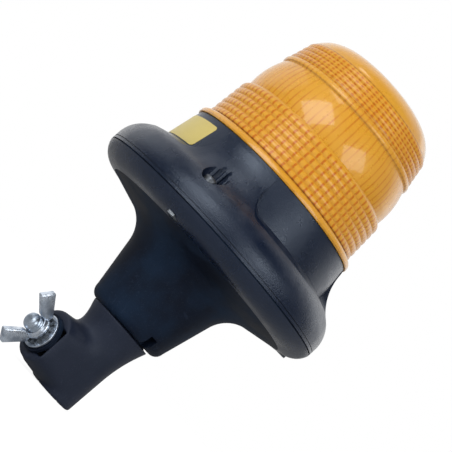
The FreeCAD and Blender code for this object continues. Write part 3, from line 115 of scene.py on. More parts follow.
class NodeBench:
    """Places and joins the nodes of one shader tree."""

    def __init__(self, tree: bpy.types.NodeTree) -> None:
        """Takes the tree to work on, a material's or a group's."""
        self.tree = tree

    def place(self, kind: str, feeds: Optional[dict] = None, **settings: object) -> bpy.types.Node:
        """Adds one node.

        Args:
            kind: the node's type name without its ShaderNode prefix.
            feeds: input name or number to a socket to link or a value to set.
            settings: properties of the node.

        Returns:
            The new node.
        """
        node = self.tree.nodes.new(kind if kind.startswith("NodeGroup") else "ShaderNode" + kind)
        for name, value in settings.items():
            setattr(node, name, value)
        for key, feed in (feeds or {}).items():
            self.feed(node.inputs[key], feed)
        return node

    def feed(self, socket: Socket, feed: Union[Socket, float, tuple]) -> None:
        """Links a socket to an input, or sets the input's value.

        Args:
            socket: the input.
            feed: another node's output, or a plain value.
        """
        if isinstance(feed, bpy.types.NodeSocket):
            self.tree.links.new(feed, socket)
        elif isinstance(feed, tuple) and len(feed) == 3 and socket.type == "RGBA":
            socket.default_value = (*feed, 1.0)
        else:
            socket.default_value = feed

    def math(self, operation: str, first: Feed, second: Feed = 0.0, third: Feed = 0.0,
             clamp: bool = False) -> Socket:
        """Adds a math node, whose result stays between 0 and 1 where clamp is set."""
        feeds = {0: first, 1: second, 2: third}
        return self.place("Math", feeds, operation=operation, use_clamp=clamp).outputs[0]

    def chain(self, operation: str, first: Feed, *others: Feed) -> Feed:
        """Adds a row of math nodes that takes in one value after another.

        Args:
            operation: Blender's name for it.
            first: the value that the row starts from.
            others: the values that follow.

        Returns:
            The result.
        """
        for other in others:
            first = self.math(operation, first, other)
        return first

    def wave(self, operation: str, phase: Feed) -> Socket:
        """Adds a SINE or COSINE that runs from 0 to 1."""
        return self.math("MULTIPLY_ADD", self.math(operation, phase), 0.5, 0.5)

    def ramp(self, value: Feed, low: float, high: float, out_low: Feed = 0.0,
             out_high: Feed = 1.0) -> Socket:
        """Adds a smooth step that gives out_low up to low and out_high from high on."""
        feeds = {"Value": value, "From Min": low, "From Max": high, "To Min": out_low, "To Max": out_high}
        return self.place("MapRange", feeds, interpolation_type="SMOOTHSTEP").outputs["Result"]

    def ramp_linear(self, value: Feed, low: float, high: float, out_low: Feed, out_high: Feed) -> Socket:
        """Adds an unclamped straight map that gives out_low at low and out_high at high."""
        feeds = {"Value": value, "From Min": low, "From Max": high, "To Min": out_low, "To Max": out_high}
        return self.place("MapRange", feeds, clamp=False).outputs["Result"]

    def blend(self, share: Feed, first: Union[Socket, Colour], second: Union[Socket, Colour],
              mode: str = "MIX") -> Socket:
        """Mixes two colours.

        Args:
            share: how much of the second.
            first: the colour underneath.
            second: the colour on top.
            mode: Blender's name for the way they mix.

        Returns:
            The mixed colour.
        """
        node = self.place("Mix", data_type="RGBA", blend_type=mode)
        self.feed(node.inputs[0], share)
        self.feed(node.inputs[6], first)
        self.feed(node.inputs[7], second)
        return node.outputs[2]

    def noise(self, scale: Feed, detail: float = 2.0, stretch: Colour = EVEN) -> Socket:
        """Adds a noise on the piece's own coordinates.

        Args:
            scale: features per metre.
            detail: octaves.
            stretch: scale of each axis.

        Returns:
            The noise, about NOISE_LOW to NOISE_HIGH.
        """
        coordinates = self.place("TexCoord").outputs["Object"]
        if stretch != EVEN:
            coordinates = self.place("Mapping", {"Vector": coordinates, "Scale": stretch}).outputs[0]
        feeds = {"Vector": coordinates, "Scale": scale, "Detail": detail}
        return self.place("TexNoise", feeds).outputs[0]

    def spread(self, noise: Socket, low: float, high: float) -> Socket:
        """Stretches a noise's usual range to another range."""
        return self.ramp(noise, NOISE_LOW, NOISE_HIGH, low, high)

    def bump(self, shader: bpy.types.Node, height: Socket, strength: float, reach: float) -> None:
        """Gives a shader a fine relief, where a height of 1 stands for the reach in millimetres."""
        relief = self.place("Bump", {"Height": height, "Strength": strength, "Distance": reach * MM})
        self.feed(shader.inputs["Normal"], relief.outputs[0])


class Effects:
    """Node groups that several finishes share, each built once."""

    @staticmethod
    def _start(name: str, inputs: dict[str, float], outputs: Iterable[str]) -> tuple:
        """Opens a new group.

        Args:
            name: the group's name.
            inputs: value inputs and their defaults.
            outputs: value outputs.

        Returns:
            The bench, the group's input node and its output node.
        """
        tree = bpy.data.node_groups.new(name, "ShaderNodeTree")
        for key, value in inputs.items():
            socket = tree.interface.new_socket(name=key, in_out="INPUT", socket_type="NodeSocketFloat")
            socket.default_value = value
        for key in outputs:
            tree.interface.new_socket(name=key, in_out="OUTPUT", socket_type="NodeSocketFloat")
        bench = NodeBench(tree)
        return bench, bench.place("NodeGroupInput"), bench.place("NodeGroupOutput")

    @classmethod
    @cache
    def moulded_grain(cls) -> bpy.types.NodeTree:
        """Fine eroded texture of a mould, with slow patches of gloss.

        Returns:
            A group that gives Height, Fleck and Patch.
        """
        pit_scale, pit_depth = 0.37, 0.6
        bench, given, result = cls._start(
            "moulded_grain", {"Grain": 2200.0, "Patches": 45.0}, ("Height", "Fleck", "Patch"))
        grain = bench.noise(given.outputs["Grain"], 3.0)
        pits = bench.noise(bench.math("MULTIPLY", given.outputs["Grain"], pit_scale), 1.0)
        height = bench.math("ADD", grain, bench.math("MULTIPLY", pits, pit_depth))
        patch = bench.noise(given.outputs["Patches"], 4.0)
        bench.feed(result.inputs["Height"], height)
        bench.feed(result.inputs["Fleck"], bench.ramp(grain, 0.52, 0.72))
        bench.feed(result.inputs["Patch"], bench.ramp(patch, 0.35, 0.68))
        return bench.tree

    @classmethod
    @cache
    def settled_dust(cls) -> bpy.types.NodeTree:
        """Dust that lies where a surface faces up, with a few specks anywhere.

        Returns:
            A group that gives Dust, from 0 to its Amount.
        """
        drift_scale, speck_scale, speck_share = 120.0, 1500.0, 0.7
        bench, given, result = cls._start("settled_dust", {"Amount": 0.1}, ("Dust",))
        up = bench.place("SeparateXYZ", {0: bench.place("NewGeometry").outputs["Normal"]}).outputs["Z"]
        lying = bench.ramp(up, 0.1, 0.95)
        drift = bench.ramp(bench.noise(drift_scale, 5.0), 0.42, 0.7)
        speck = bench.ramp(bench.noise(speck_scale, 1.0), 0.64, 0.74)
        specks = bench.math("MULTIPLY", speck, speck_share)
        cover = bench.math("MAXIMUM", bench.math("MULTIPLY", lying, drift), specks)
        bench.feed(result.inputs["Dust"], bench.math("MULTIPLY", cover, given.outputs["Amount"]))
        return bench.tree

    @classmethod
    @cache
    def hair_scratches(cls) -> bpy.types.NodeTree:
        """Fine scratches in two directions, broken up by patches.

        Returns:
            A group that gives Scratch.
        """
        along_stretch, across_stretch, patch_scale = (1.0, 9.0, 0.6), (7.0, 0.8, 5.0), 55.0
        bench, given, result = cls._start("hair_scratches", {"Density": 160.0}, ("Scratch",))
        along = bench.ramp(bench.noise(given.outputs["Density"], 2.0, along_stretch), 0.63, 0.68)
        across = bench.ramp(bench.noise(given.outputs["Density"], 2.0, across_stretch), 0.64, 0.69)
        where = bench.ramp(bench.noise(patch_scale, 2.0), 0.46, 0.64)
        both = bench.math("MAXIMUM", along, across)
        bench.feed(result.inputs["Scratch"], bench.math("MULTIPLY", both, where))
        return bench.tree


def new_material(name: str) -> tuple[bpy.types.Material, NodeBench, bpy.types.Node]:
    """Makes an empty material with its shader.

    Args:
        name: the finish's name.

    Returns:
        The material, its bench and its Principled shader.
    """
    material = bpy.data.materials.new(name)
    material.use_nodes = True
    material.node_tree.nodes.clear()
    bench = NodeBench(material.node_tree)
    shader = bench.place("BsdfPrincipled")
    bench.place("OutputMaterial", {"Surface": shader.outputs[0]})
    return material, bench, shader


def lighter(colour: Colour, gain: float, lift: float = 0.0) -> Colour:
    """Gives a lighter colour whose parts stay at 1 or below."""
    return tuple(min(1.0, gain * part + lift) for part in colour)


# Finishes


@dataclass(frozen=True)
class Moulded:
    """Moulded plastic or rubber with an eroded grain."""

    name: str
    base: Colour
    bloom: Colour
    roughness: float = 0.5
    specular: float = 0.35
    grain: float = 2200.0
    patches: float = 45.0
    depth: float = 0.12
    dust: float = 0.06
    scratch: float = 0.15
    gloss_tint: Colour = (1.0, 1.0, 1.0)
    dust_tint: Colour = (0.34, 0.35, 0.38)
    fleck_share: float = 0.35
    uneven: float = 0.06
    dust_haze: float = 0.5
    relief: float = 0.4

    def material(self) -> bpy.types.Material:
        """Builds the finish.

        Returns:
            The material.
        """
        material, bench, shader = new_material(self.name)
        grain = {"Grain": self.grain, "Patches": self.patches}
        skin = bench.place("Group", grain, node_tree=Effects.moulded_grain())
        dust = bench.place("Group", {"Amount": self.dust}, node_tree=Effects.settled_dust())
        worn = bench.place("Group", node_tree=Effects.hair_scratches())
        mark = bench.math("MULTIPLY", worn.outputs["Scratch"], self.scratch)
        tint = bench.blend(skin.outputs["Patch"], self.base, self.bloom)
        fleck = bench.math("MULTIPLY", skin.outputs["Fleck"], self.fleck_share)
        tint = bench.blend(fleck, tint, self.bloom, "ADD")
        tint = bench.blend(dust.outputs["Dust"], tint, self.dust_tint)
        tint = bench.blend(mark, tint, lighter(self.bloom, gain=2.2, lift=0.02))
        bench.feed(shader.inputs["Base Color"], tint)
        smooth, rough = self.roughness - self.uneven, self.roughness + self.uneven
        haze = bench.math("MULTIPLY", dust.outputs["Dust"], self.dust_haze)
        patch = bench.ramp(skin.outputs["Patch"], 0.0, 1.0, smooth, rough)
        bench.feed(shader.inputs["Roughness"], bench.math("ADD", patch, haze, clamp=True))
        shader.inputs["Specular IOR Level"].default_value = self.specular
        shader.inputs["Specular Tint"].default_value = (*self.gloss_tint, 1.0)
        height = bench.math("SUBTRACT", skin.outputs["Height"], mark)
        bench.bump(shader, height, self.depth, self.relief)
        return material


@dataclass(frozen=True)
class Plated:
    """Plated, turned or rolled metal."""

    name: str
    base: Colour
    stain: Colour
    roughness: float = 0.3
    grain: float = 1400.0
    stretch: Colour = EVEN
    depth: float = 0.1
    scratch: float = 0.4
    clouds: float = 170.0
    stain_share: float = 0.75
    smoother: float = 0.09
    rougher: float = 0.1
    cloud_haze: float = 0.08
    scratch_depth: float = 0.8
    relief: float = 0.3

    def material(self) -> bpy.types.Material:
        """Builds the finish.

        Returns:
            The material.
        """
        material, bench, shader = new_material(self.name)
        cloud = bench.ramp(bench.noise(self.clouds, 4.0), 0.36, 0.68)
        crystal = bench.noise(self.grain, 2.0, self.stretch)
        worn = bench.place("Group", node_tree=Effects.hair_scratches())
        mark = bench.math("MULTIPLY", worn.outputs["Scratch"], self.scratch)
        tint = bench.blend(bench.math("MULTIPLY", cloud, self.stain_share), self.base, self.stain)
        tint = bench.blend(mark, tint, lighter(self.base, gain=1.25))
        bench.feed(shader.inputs["Base Color"], tint)
        shader.inputs["Metallic"].default_value = 1.0
        rough = bench.spread(crystal, self.roughness - self.smoother, self.roughness + self.rougher)
        haze = bench.math("MULTIPLY", cloud, self.cloud_haze)
        bench.feed(shader.inputs["Roughness"], bench.math("ADD", rough, haze))
        height = bench.math("SUBTRACT", crystal, bench.math("MULTIPLY", mark, self.scratch_depth))
        bench.bump(shader, height, self.depth, self.relief)
        return material


@dataclass(frozen=True)
class Film:
    """Blank label film with a faint grain and soiled patches."""

    name: str
    base: Colour
    soiled: Colour
    pale: Colour = (1.0, 0.97, 0.8)
    roughness: float = 0.38
    smoother: float = 0.05
    rougher: float = 0.1
    paper: float = 2600.0
    soil: float = 90.0
    soil_share: float = 0.4
    pale_share: float = 0.12
    depth: float = 0.06
    relief: float = 0.2

    def material(self) -> bpy.types.Material:
        """Builds the finish.

        Returns:
            The material.
        """
        material, bench, shader = new_material(self.name)
        paper = bench.noise(self.paper, 2.0)
        soil = bench.ramp(bench.noise(self.soil, 5.0), 0.45, 0.75, 0.0, self.soil_share)
        tint = bench.blend(soil, self.base, self.soiled)
        tint = bench.blend(bench.ramp(paper, 0.45, 0.75, 0.0, self.pale_share), tint, self.pale)
        bench.feed(shader.inputs["Base Color"], tint)
        rough = bench.spread(paper, self.roughness - self.smoother, self.roughness + self.rougher)
        bench.feed(shader.inputs["Roughness"], rough)
        bench.bump(shader, paper, self.depth, self.relief)
        return material


@dataclass(frozen=True)
class Laminate:
    """Circuit board: solder mask over copper tracks."""

    name: str
    mask: Colour
    copper: Colour
    cloth: Colour = (0.1, 0.3, 0.14)
    tracks: float = 160.0
    routes: float = 70.0
    weave: float = 900.0
    copper_share: float = 0.55
    cloth_share: float = 0.2
    smooth: float = 0.3
    rough: float = 0.45
    depth: float = 0.2
    relief: float = 0.2

    def material(self) -> bpy.types.Material:
        """Builds the finish.

        Returns:
            The material.
        """
        material, bench, shader = new_material(self.name)
        black, white = (0.0, 0.0, 0.0), (1.0, 1.0, 1.0)
        tracks = bench.place("TexBrick", {
            "Vector": bench.place("TexCoord").outputs["Object"], "Scale": self.tracks, "Mortar Size": 0.05,
            "Mortar Smooth": 0.1, "Color1": black, "Color2": black, "Mortar": white})
        routed = bench.ramp(bench.noise(self.routes, 1.0), 0.45, 0.55)
        track = bench.math("MULTIPLY", tracks.outputs["Color"], routed)
        weave = bench.noise(self.weave, 2.0)
        tint = bench.blend(bench.math("MULTIPLY", track, self.copper_share), self.mask, self.copper)
        tint = bench.blend(bench.ramp(weave, 0.4, 0.7, 0.0, self.cloth_share), tint, self.cloth)
        bench.feed(shader.inputs["Base Color"], tint)
        bench.feed(shader.inputs["Roughness"], bench.spread(weave, self.smooth, self.rough))
        bench.bump(shader, bench.math("ADD", track, weave), self.depth, self.relief)
        return material


@dataclass(frozen=True)
class Winding:
    """Lacquered wire in close turns along X, with painted shade between the turns."""

    name: str
    lacquer: Colour
    # colour of the painted shade between the turns
    shade: Colour
    pitch: float = 0.5
    loose: float = 700.0
    smooth: float = 0.25
    rough: float = 0.5
    depth: float = 0.4
    relief: float = 0.3

    def material(self) -> bpy.types.Material:
        """Builds the finish.

        Returns:
            The material.
        """
        material, bench, shader = new_material(self.name)
        along = bench.place("SeparateXYZ", {0: bench.place("TexCoord").outputs["Object"]}).outputs["X"]
        turn = bench.wave("SINE", bench.math("MULTIPLY", along, TURN / (self.pitch * MM)))
        loose = bench.noise(self.loose, 3.0)
        # Painted shade: the colour runs from the shade colour in the gaps between turns to the lacquer on
        # their crowns.
        bench.feed(shader.inputs["Base Color"], bench.blend(turn, self.shade, self.lacquer))
        bench.feed(shader.inputs["Roughness"], bench.spread(loose, self.smooth, self.rough))
        bench.bump(shader, bench.math("ADD", turn, loose), self.depth, self.relief)
        return material


@dataclass(frozen=True)
class Quartz:
    """Clear tube with a faint grey fog where it has fired."""

    name: str
    clear: Colour
    fog: Colour
    clouds: float = 130.0
    fog_share: float = 0.5
    roughness: float = 0.03
    fog_haze: float = 0.25
    ior: float = 1.46

    def material(self) -> bpy.types.Material:
        """Builds the finish.

        Returns:
            The material.
        """
        material, bench, shader = new_material(self.name)
        fog = bench.ramp(bench.noise(self.clouds, 4.0), 0.45, 0.75, 0.0, self.fog_share)
        bench.feed(shader.inputs["Base Color"], bench.blend(fog, self.clear, self.fog))
        rough = bench.math("MULTIPLY_ADD", fog, self.fog_haze, self.roughness)
        bench.feed(shader.inputs["Roughness"], rough)
        shader.inputs["IOR"].default_value = self.ior
        shader.inputs["Transmission Weight"].default_value = 1.0
        return material


@dataclass(frozen=True)
class PaintedCrease:
    """Painted shade line round the lens where two of its forms meet."""

    height: float
    strength: float


@dataclass(frozen=True)
class Amber:
    """Ribbed amber lens: painted shade lines over the flutes, painted shade in the rib valleys and at the
    creases, and painted highlight on the cells where ribs cross the flutes.
    """

    name: str
    base: Colour
    # colour of the painted shade over the flute lines and rib valleys
    painted_groove_shade: Colour
    # colour of the random lighter patches and of the painted highlight on the rib crests
    pale: Colour
    # colour of the painted shade lines at the creases
    painted_crease_shade: Colour
    flutes: int
    first_flute_deg: float
    foot: float
    band_top: float
    upper_foot: float
    upper_top: float
    lower_ribs: int
    upper_rows: int
    painted_creases: tuple[PaintedCrease, ...]
    crease_half: float = 0.3
    crease_gap: float = 0.7
    band_fade: float = 0.3
    bulge_fade: float = 0.8
    line_above_band: float = 1.0
    line_below_top: float = 7.0
    line_edge: tuple = (0.80, 0.98)
    wide_edge: tuple = (0.62, 0.95)
    dot_edge: tuple = (0.35, 0.75)
    sway: float = 0.25
    stray: float = 0.5
    stray_scale: float = 160.0
    fade_scale: float = 70.0
    glow_scale: float = 28.0
    glow_share: float = 0.35
    haze_scale: float = 240.0
    roughness: float = 0.3
    uneven: float = 0.04
    gloss: float = 0.52
    band_gloss: float = 0.2
    dome_gloss: float = 0.9
    dome_fade: float = 2.0
    ior: float = 1.49
    transmission: float = 0.08
    specular: float = 0.3
    coat_roughness: float = 0.06

    def _rows(self, bench: NodeBench, height: Socket, low: float, high: float, count: int) -> Socket:
        """Gives a wave with one crest for each rib of a band, 0 in a valley and 1 on a crest."""
        turns = bench.ramp_linear(height, low * MM, high * MM, 0.0, TURN * count)
        return bench.math("MULTIPLY_ADD", bench.math("COSINE", turns), -0.5, 0.5)

    def _window(self, bench: NodeBench, height: Socket, low: float, high: float, soft: float) -> Socket:
        """Gives a mask of the part between two heights.

        Args:
            bench: the material's bench.
            height: Z in metres.
            low: lower edge.
            high: upper edge.
            soft: half the width of its fade.

        Returns:
            The mask.
        """
        rise = bench.ramp(height, (low - soft) * MM, (low + soft) * MM)
        fall = bench.ramp(height, (high - soft) * MM, (high + soft) * MM, 1.0, 0.0)
        return bench.math("MULTIPLY", rise, fall)

    def _groove(self, bench: NodeBench, angle: Socket, rib: Socket) -> Socket:
        """Gives a wave with one crest over each flute, which sways with the lower ribs.

        Args:
            bench: the material's bench.
            angle: the polar angle in radians.
            rib: the lower ribs' wave about 0.

        Returns:
            The wave, 1 in the middle of a painted shade line.
        """
        turned = bench.math("SUBTRACT", angle, math.radians(self.first_flute_deg))
        phase = bench.math("MULTIPLY", turned, float(self.flutes))
        stray = bench.math("SUBTRACT", bench.noise(self.stray_scale, 2.0), 0.5)
        swayed = bench.chain(
            "ADD", phase, bench.math("MULTIPLY", rib, self.sway), bench.math("MULTIPLY", stray, self.stray))
        return bench.wave("COSINE", swayed)

    def material(self) -> bpy.types.Material:
        """Builds the finish.

        Returns:
            The material.
        """
        material, bench, shader = new_material(self.name)
        place = bench.place("SeparateXYZ", {0: bench.place("TexCoord").outputs["Object"]})
        height = place.outputs["Z"]
        angle = bench.math("ARCTAN2", place.outputs["Y"], place.outputs["X"])
        lower = self._rows(bench, height, self.foot, self.band_top, self.lower_ribs)
        upper = self._rows(bench, height, self.upper_foot, self.upper_top, self.upper_rows)
        in_lower = self._window(bench, height, self.foot, self.band_top, self.band_fade)
        in_upper = self._window(bench, height, self.upper_foot, self.upper_top, self.band_fade)
        in_bulge = self._window(
            bench, height, self.band_top + self.line_above_band, self.upper_top - self.line_below_top,
            self.bulge_fade)
        ribbed = bench.math("MULTIPLY", bench.math("SUBTRACT", lower, 0.5), in_lower)
        groove = self._groove(bench, angle, ribbed)
        faded = bench.ramp(bench.noise(self.fade_scale, 2.0), 0.35, 0.65, 0.2, 0.7)
        dash = bench.ramp(lower, 0.02, 0.4, 0.45, 0.95)
        between = bench.ramp(upper, 0.75, 0.3, 0.25, 1.0)
        # Painted shade: dark lines over the flutes on the bulge and in both bands, and darker rib valleys in
        # the bands.
        painted_groove_mask = bench.chain(
            "MAXIMUM",
            bench.chain("MULTIPLY", bench.ramp(groove, *self.line_edge), in_bulge, faded),
            bench.chain("MULTIPLY", bench.ramp(groove, *self.wide_edge), in_lower, dash),
            bench.chain("MULTIPLY", bench.ramp(groove, *self.dot_edge), between, in_upper),
            bench.math("MULTIPLY", bench.ramp(lower, 0.2, 0.02, 0.0, 0.1), in_lower),
            bench.math("MULTIPLY", bench.ramp(upper, 0.3, 0.02, 0.0, 0.35), in_upper))
        # Painted highlight: the pale colour on the rib crests between the flute lines, besides lighter
        # patches at random from the noise.
        painted_crest_highlight = bench.chain("MULTIPLY", bench.ramp(groove, 0.6, 0.1), lower, in_lower)
        glow = bench.ramp(bench.noise(self.glow_scale, 3.0), 0.35, 0.7)
        glow = bench.math("MULTIPLY", bench.math("MAXIMUM", glow, painted_crest_highlight), self.glow_share)
        tint = bench.blend(painted_groove_mask, bench.blend(glow, self.base, self.pale), self.painted_groove_shade)
        # Painted shade: a dark line at each crease height and at the flange's foot, darker where it crosses a
        # flute line.
        for painted_crease_shade in self.painted_creases:
            low, high = painted_crease_shade.height - self.crease_half, painted_crease_shade.height + self.crease_half
            crease_shade_band = self._window(bench, height, low, high, self.crease_half)
            depth = bench.ramp(groove, 0.0, 1.0, self.crease_gap * painted_crease_shade.strength, painted_crease_shade.strength)
            tint = bench.blend(bench.math("MULTIPLY", crease_shade_band, depth), tint, self.painted_crease_shade)
        bench.feed(shader.inputs["Base Color"], tint)
        rough = bench.spread(
            bench.noise(self.haze_scale, 2.0), self.roughness - self.uneven, self.roughness + self.uneven)
        bench.feed(shader.inputs["Roughness"], rough)
        banded = bench.math("MAXIMUM", in_lower, in_upper)
        coat = bench.ramp_linear(banded, 0.0, 1.0, self.gloss, self.band_gloss)
        on_dome = bench.ramp(height, self.upper_top * MM, (self.upper_top + self.dome_fade) * MM)
        bench.feed(shader.inputs["Coat Weight"], bench.ramp_linear(on_dome, 0.0, 1.0, coat, self.dome_gloss))
        shader.inputs["IOR"].default_value = self.ior
        shader.inputs["Transmission Weight"].default_value = self.transmission
        shader.inputs["Specular IOR Level"].default_value = self.specular
        shader.inputs["Coat Roughness"].default_value = self.coat_roughness
        return material


# Mesh tools


class ProfilePen:
    """Draws a turned piece's outline in the XZ plane, step by step, in millimetres."""

    def __init__(self, mesh: bmesh.types.BMesh, radius: float, height: float) -> None:
        """Sets the pen down in a mesh, at a distance from the axis and a height."""
        self.mesh = mesh
        self.first = self.tip = bmesh.ops.create_vert(mesh, co=self._at(radius, height))["vert"][0]

    @staticmethod
    def _at(radius: float, height: float) -> Vector:
        """Gives a point of the outline in metres."""
        return Vector((radius * MM, 0.0, height * MM))

    def line(self, radius: float, height: float, steps: int = 1) -> "ProfilePen":
        """Draws a straight run.

        Args:
            radius: its end's distance from the axis.
            height: its end's Z.
            steps: how many edges it gets.

        Returns:
            The pen.
        """
        start = self.tip.co.copy()
        end = self._at(radius, height)
        for step in range(1, steps + 1):
            made = bmesh.ops.extrude_vert_indiv(self.mesh, verts=[self.tip])
            self.tip = made["verts"][0]
            self.tip.co = start.lerp(end, step / steps)
        return self

    def arc(self, middle: tuple[float, float], end: tuple[float, float], steps: int = 6) -> "ProfilePen":
        """Draws an arc through a middle point.

        Args:
            middle: a point on it, as radius and height.
            end: its end, as radius and height.
            steps: how many edges it gets.

        Returns:
            The pen.
        """
        first, second, third = self.tip.co.xz, self._at(*middle).xz, self._at(*end).xz
        one, two = second - first, third - first
        cross = 2.0 * one.cross(two)
        lift = (two.y * one.length_squared - one.y * two.length_squared) / cross
        shift = (one.x * two.length_squared - two.x * one.length_squared) / cross
        centre = first + Vector((lift, shift))
        spokes = [point - centre for point in (first, second, third)]
        spread = spokes[0].angle_signed(spokes[1]) + spokes[1].angle_signed(spokes[2])
        made = bmesh.ops.spin(
            self.mesh, geom=[self.tip], cent=(centre.x, 0.0, centre.y), axis=(0.0, 1.0, 0.0),
            angle=spread, steps=steps, use_merge=False)
        self.tip = [item for item in made["geom_last"] if isinstance(item, bmesh.types.BMVert)][0]
        self.tip.co = self._at(*end)
        return self

    def close(self) -> None:
        """Joins the last point to the first."""
        self.mesh.edges.new((self.tip, self.first))

    def spin(self, steps: int) -> None:
        """Turns the outline round Z into a closed skin.

        Args:
            steps: faces round the axis.
        """
        geometry = list(self.mesh.verts) + list(self.mesh.edges)
        bmesh.ops.spin(
            self.mesh, geom=geometry, cent=(0.0, 0.0, 0.0), axis=(0.0, 0.0, 1.0),
            angle=TURN, steps=steps, use_merge=True)
        bmesh.ops.remove_doubles(self.mesh, verts=self.mesh.verts, dist=MERGE)
        bmesh.ops.recalc_face_normals(self.mesh, faces=self.mesh.faces)


def finish_piece(name: str, mesh: bmesh.types.BMesh) -> bpy.types.Object:
    """Turns a working mesh into an object with smooth faces and crisp edges.

    Args:
        name: the piece's name.
        mesh: the working mesh, which is freed.

    Returns:
        The new object.
    """
    data = bpy.data.meshes.new(name)
    mesh.to_mesh(data)
    mesh.free()
    data.shade_smooth()
    data.set_sharp_from_angle(angle=SHARP)
    piece = bpy.data.objects.new(name, data)
    bpy.context.scene.collection.objects.link(piece)
    return piece


def evaluated_mesh(piece: bpy.types.Object) -> bpy.types.Mesh:
    """Applies a piece's modifiers to a new mesh and clears them.

    Args:
        piece: the object with the modifiers.

    Returns:
        The new mesh, which the piece doesn't use yet.
    """
    bpy.context.view_layer.update()
    graph = bpy.context.evaluated_depsgraph_get()
    made = bpy.data.meshes.new_from_object(piece.evaluated_get(graph))
    piece.modifiers.clear()
    return made


def joined(piece: bpy.types.Object, tool: bpy.types.Object, operation: str) -> bpy.types.Object:
    """Adds a tool shape to a piece or cuts it away, and removes the tool.

    Args:
        piece: the piece that stays.
        tool: the other closed shape.
        operation: UNION or DIFFERENCE.

    Returns:
        The piece.
    """
    step = piece.modifiers.new("joined", "BOOLEAN")
    step.operation = operation
    step.solver = "EXACT"
    step.object = tool
    solid = evaluated_mesh(piece)
    piece.data = solid
    bpy.data.objects.remove(tool)
    solid.shade_smooth()
    solid.set_sharp_from_angle(angle=SHARP)
    return piece


def merged_copy(node: str) -> bmesh.types.BMesh:
    """Copies a CAD node's mesh with its loose triangles merged.

    Args:
        node: the node's name.

    Returns:
        The working mesh.
    """
    mesh = bmesh.new()
    mesh.from_mesh(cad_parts[node].data)
    bmesh.ops.remove_doubles(mesh, verts=mesh.verts, dist=MERGE)
    return mesh


def slice_heights(mesh: bmesh.types.BMesh, low: float, high: float, pitch: float) -> None:
    """Cuts rings of edges across a mesh, so that it can bend.

    Args:
        mesh: the mesh to cut.
        low: first cut, in millimetres.
        high: last cut, in millimetres.
        pitch: between cuts, in millimetres.
    """
    for step in range(int((high - low) / pitch) + 1):
        geometry = list(mesh.verts) + list(mesh.edges) + list(mesh.faces)
        bmesh.ops.bisect_plane(
            mesh, geom=geometry, dist=MERGE, plane_co=(0.0, 0.0, (low + step * pitch) * MM),
            plane_no=(0.0, 0.0, 1.0))


def paint(piece: bpy.types.Object, material: bpy.types.Material) -> None:
    """Gives a piece or a CAD node its finish.

    Args:
        piece: the object.
        material: the finish.
    """
    slots = piece.data.materials
    if not slots:
        slots.append(material)
    for index in range(len(slots)):
        slots[index] = material


# Sub-assemblies


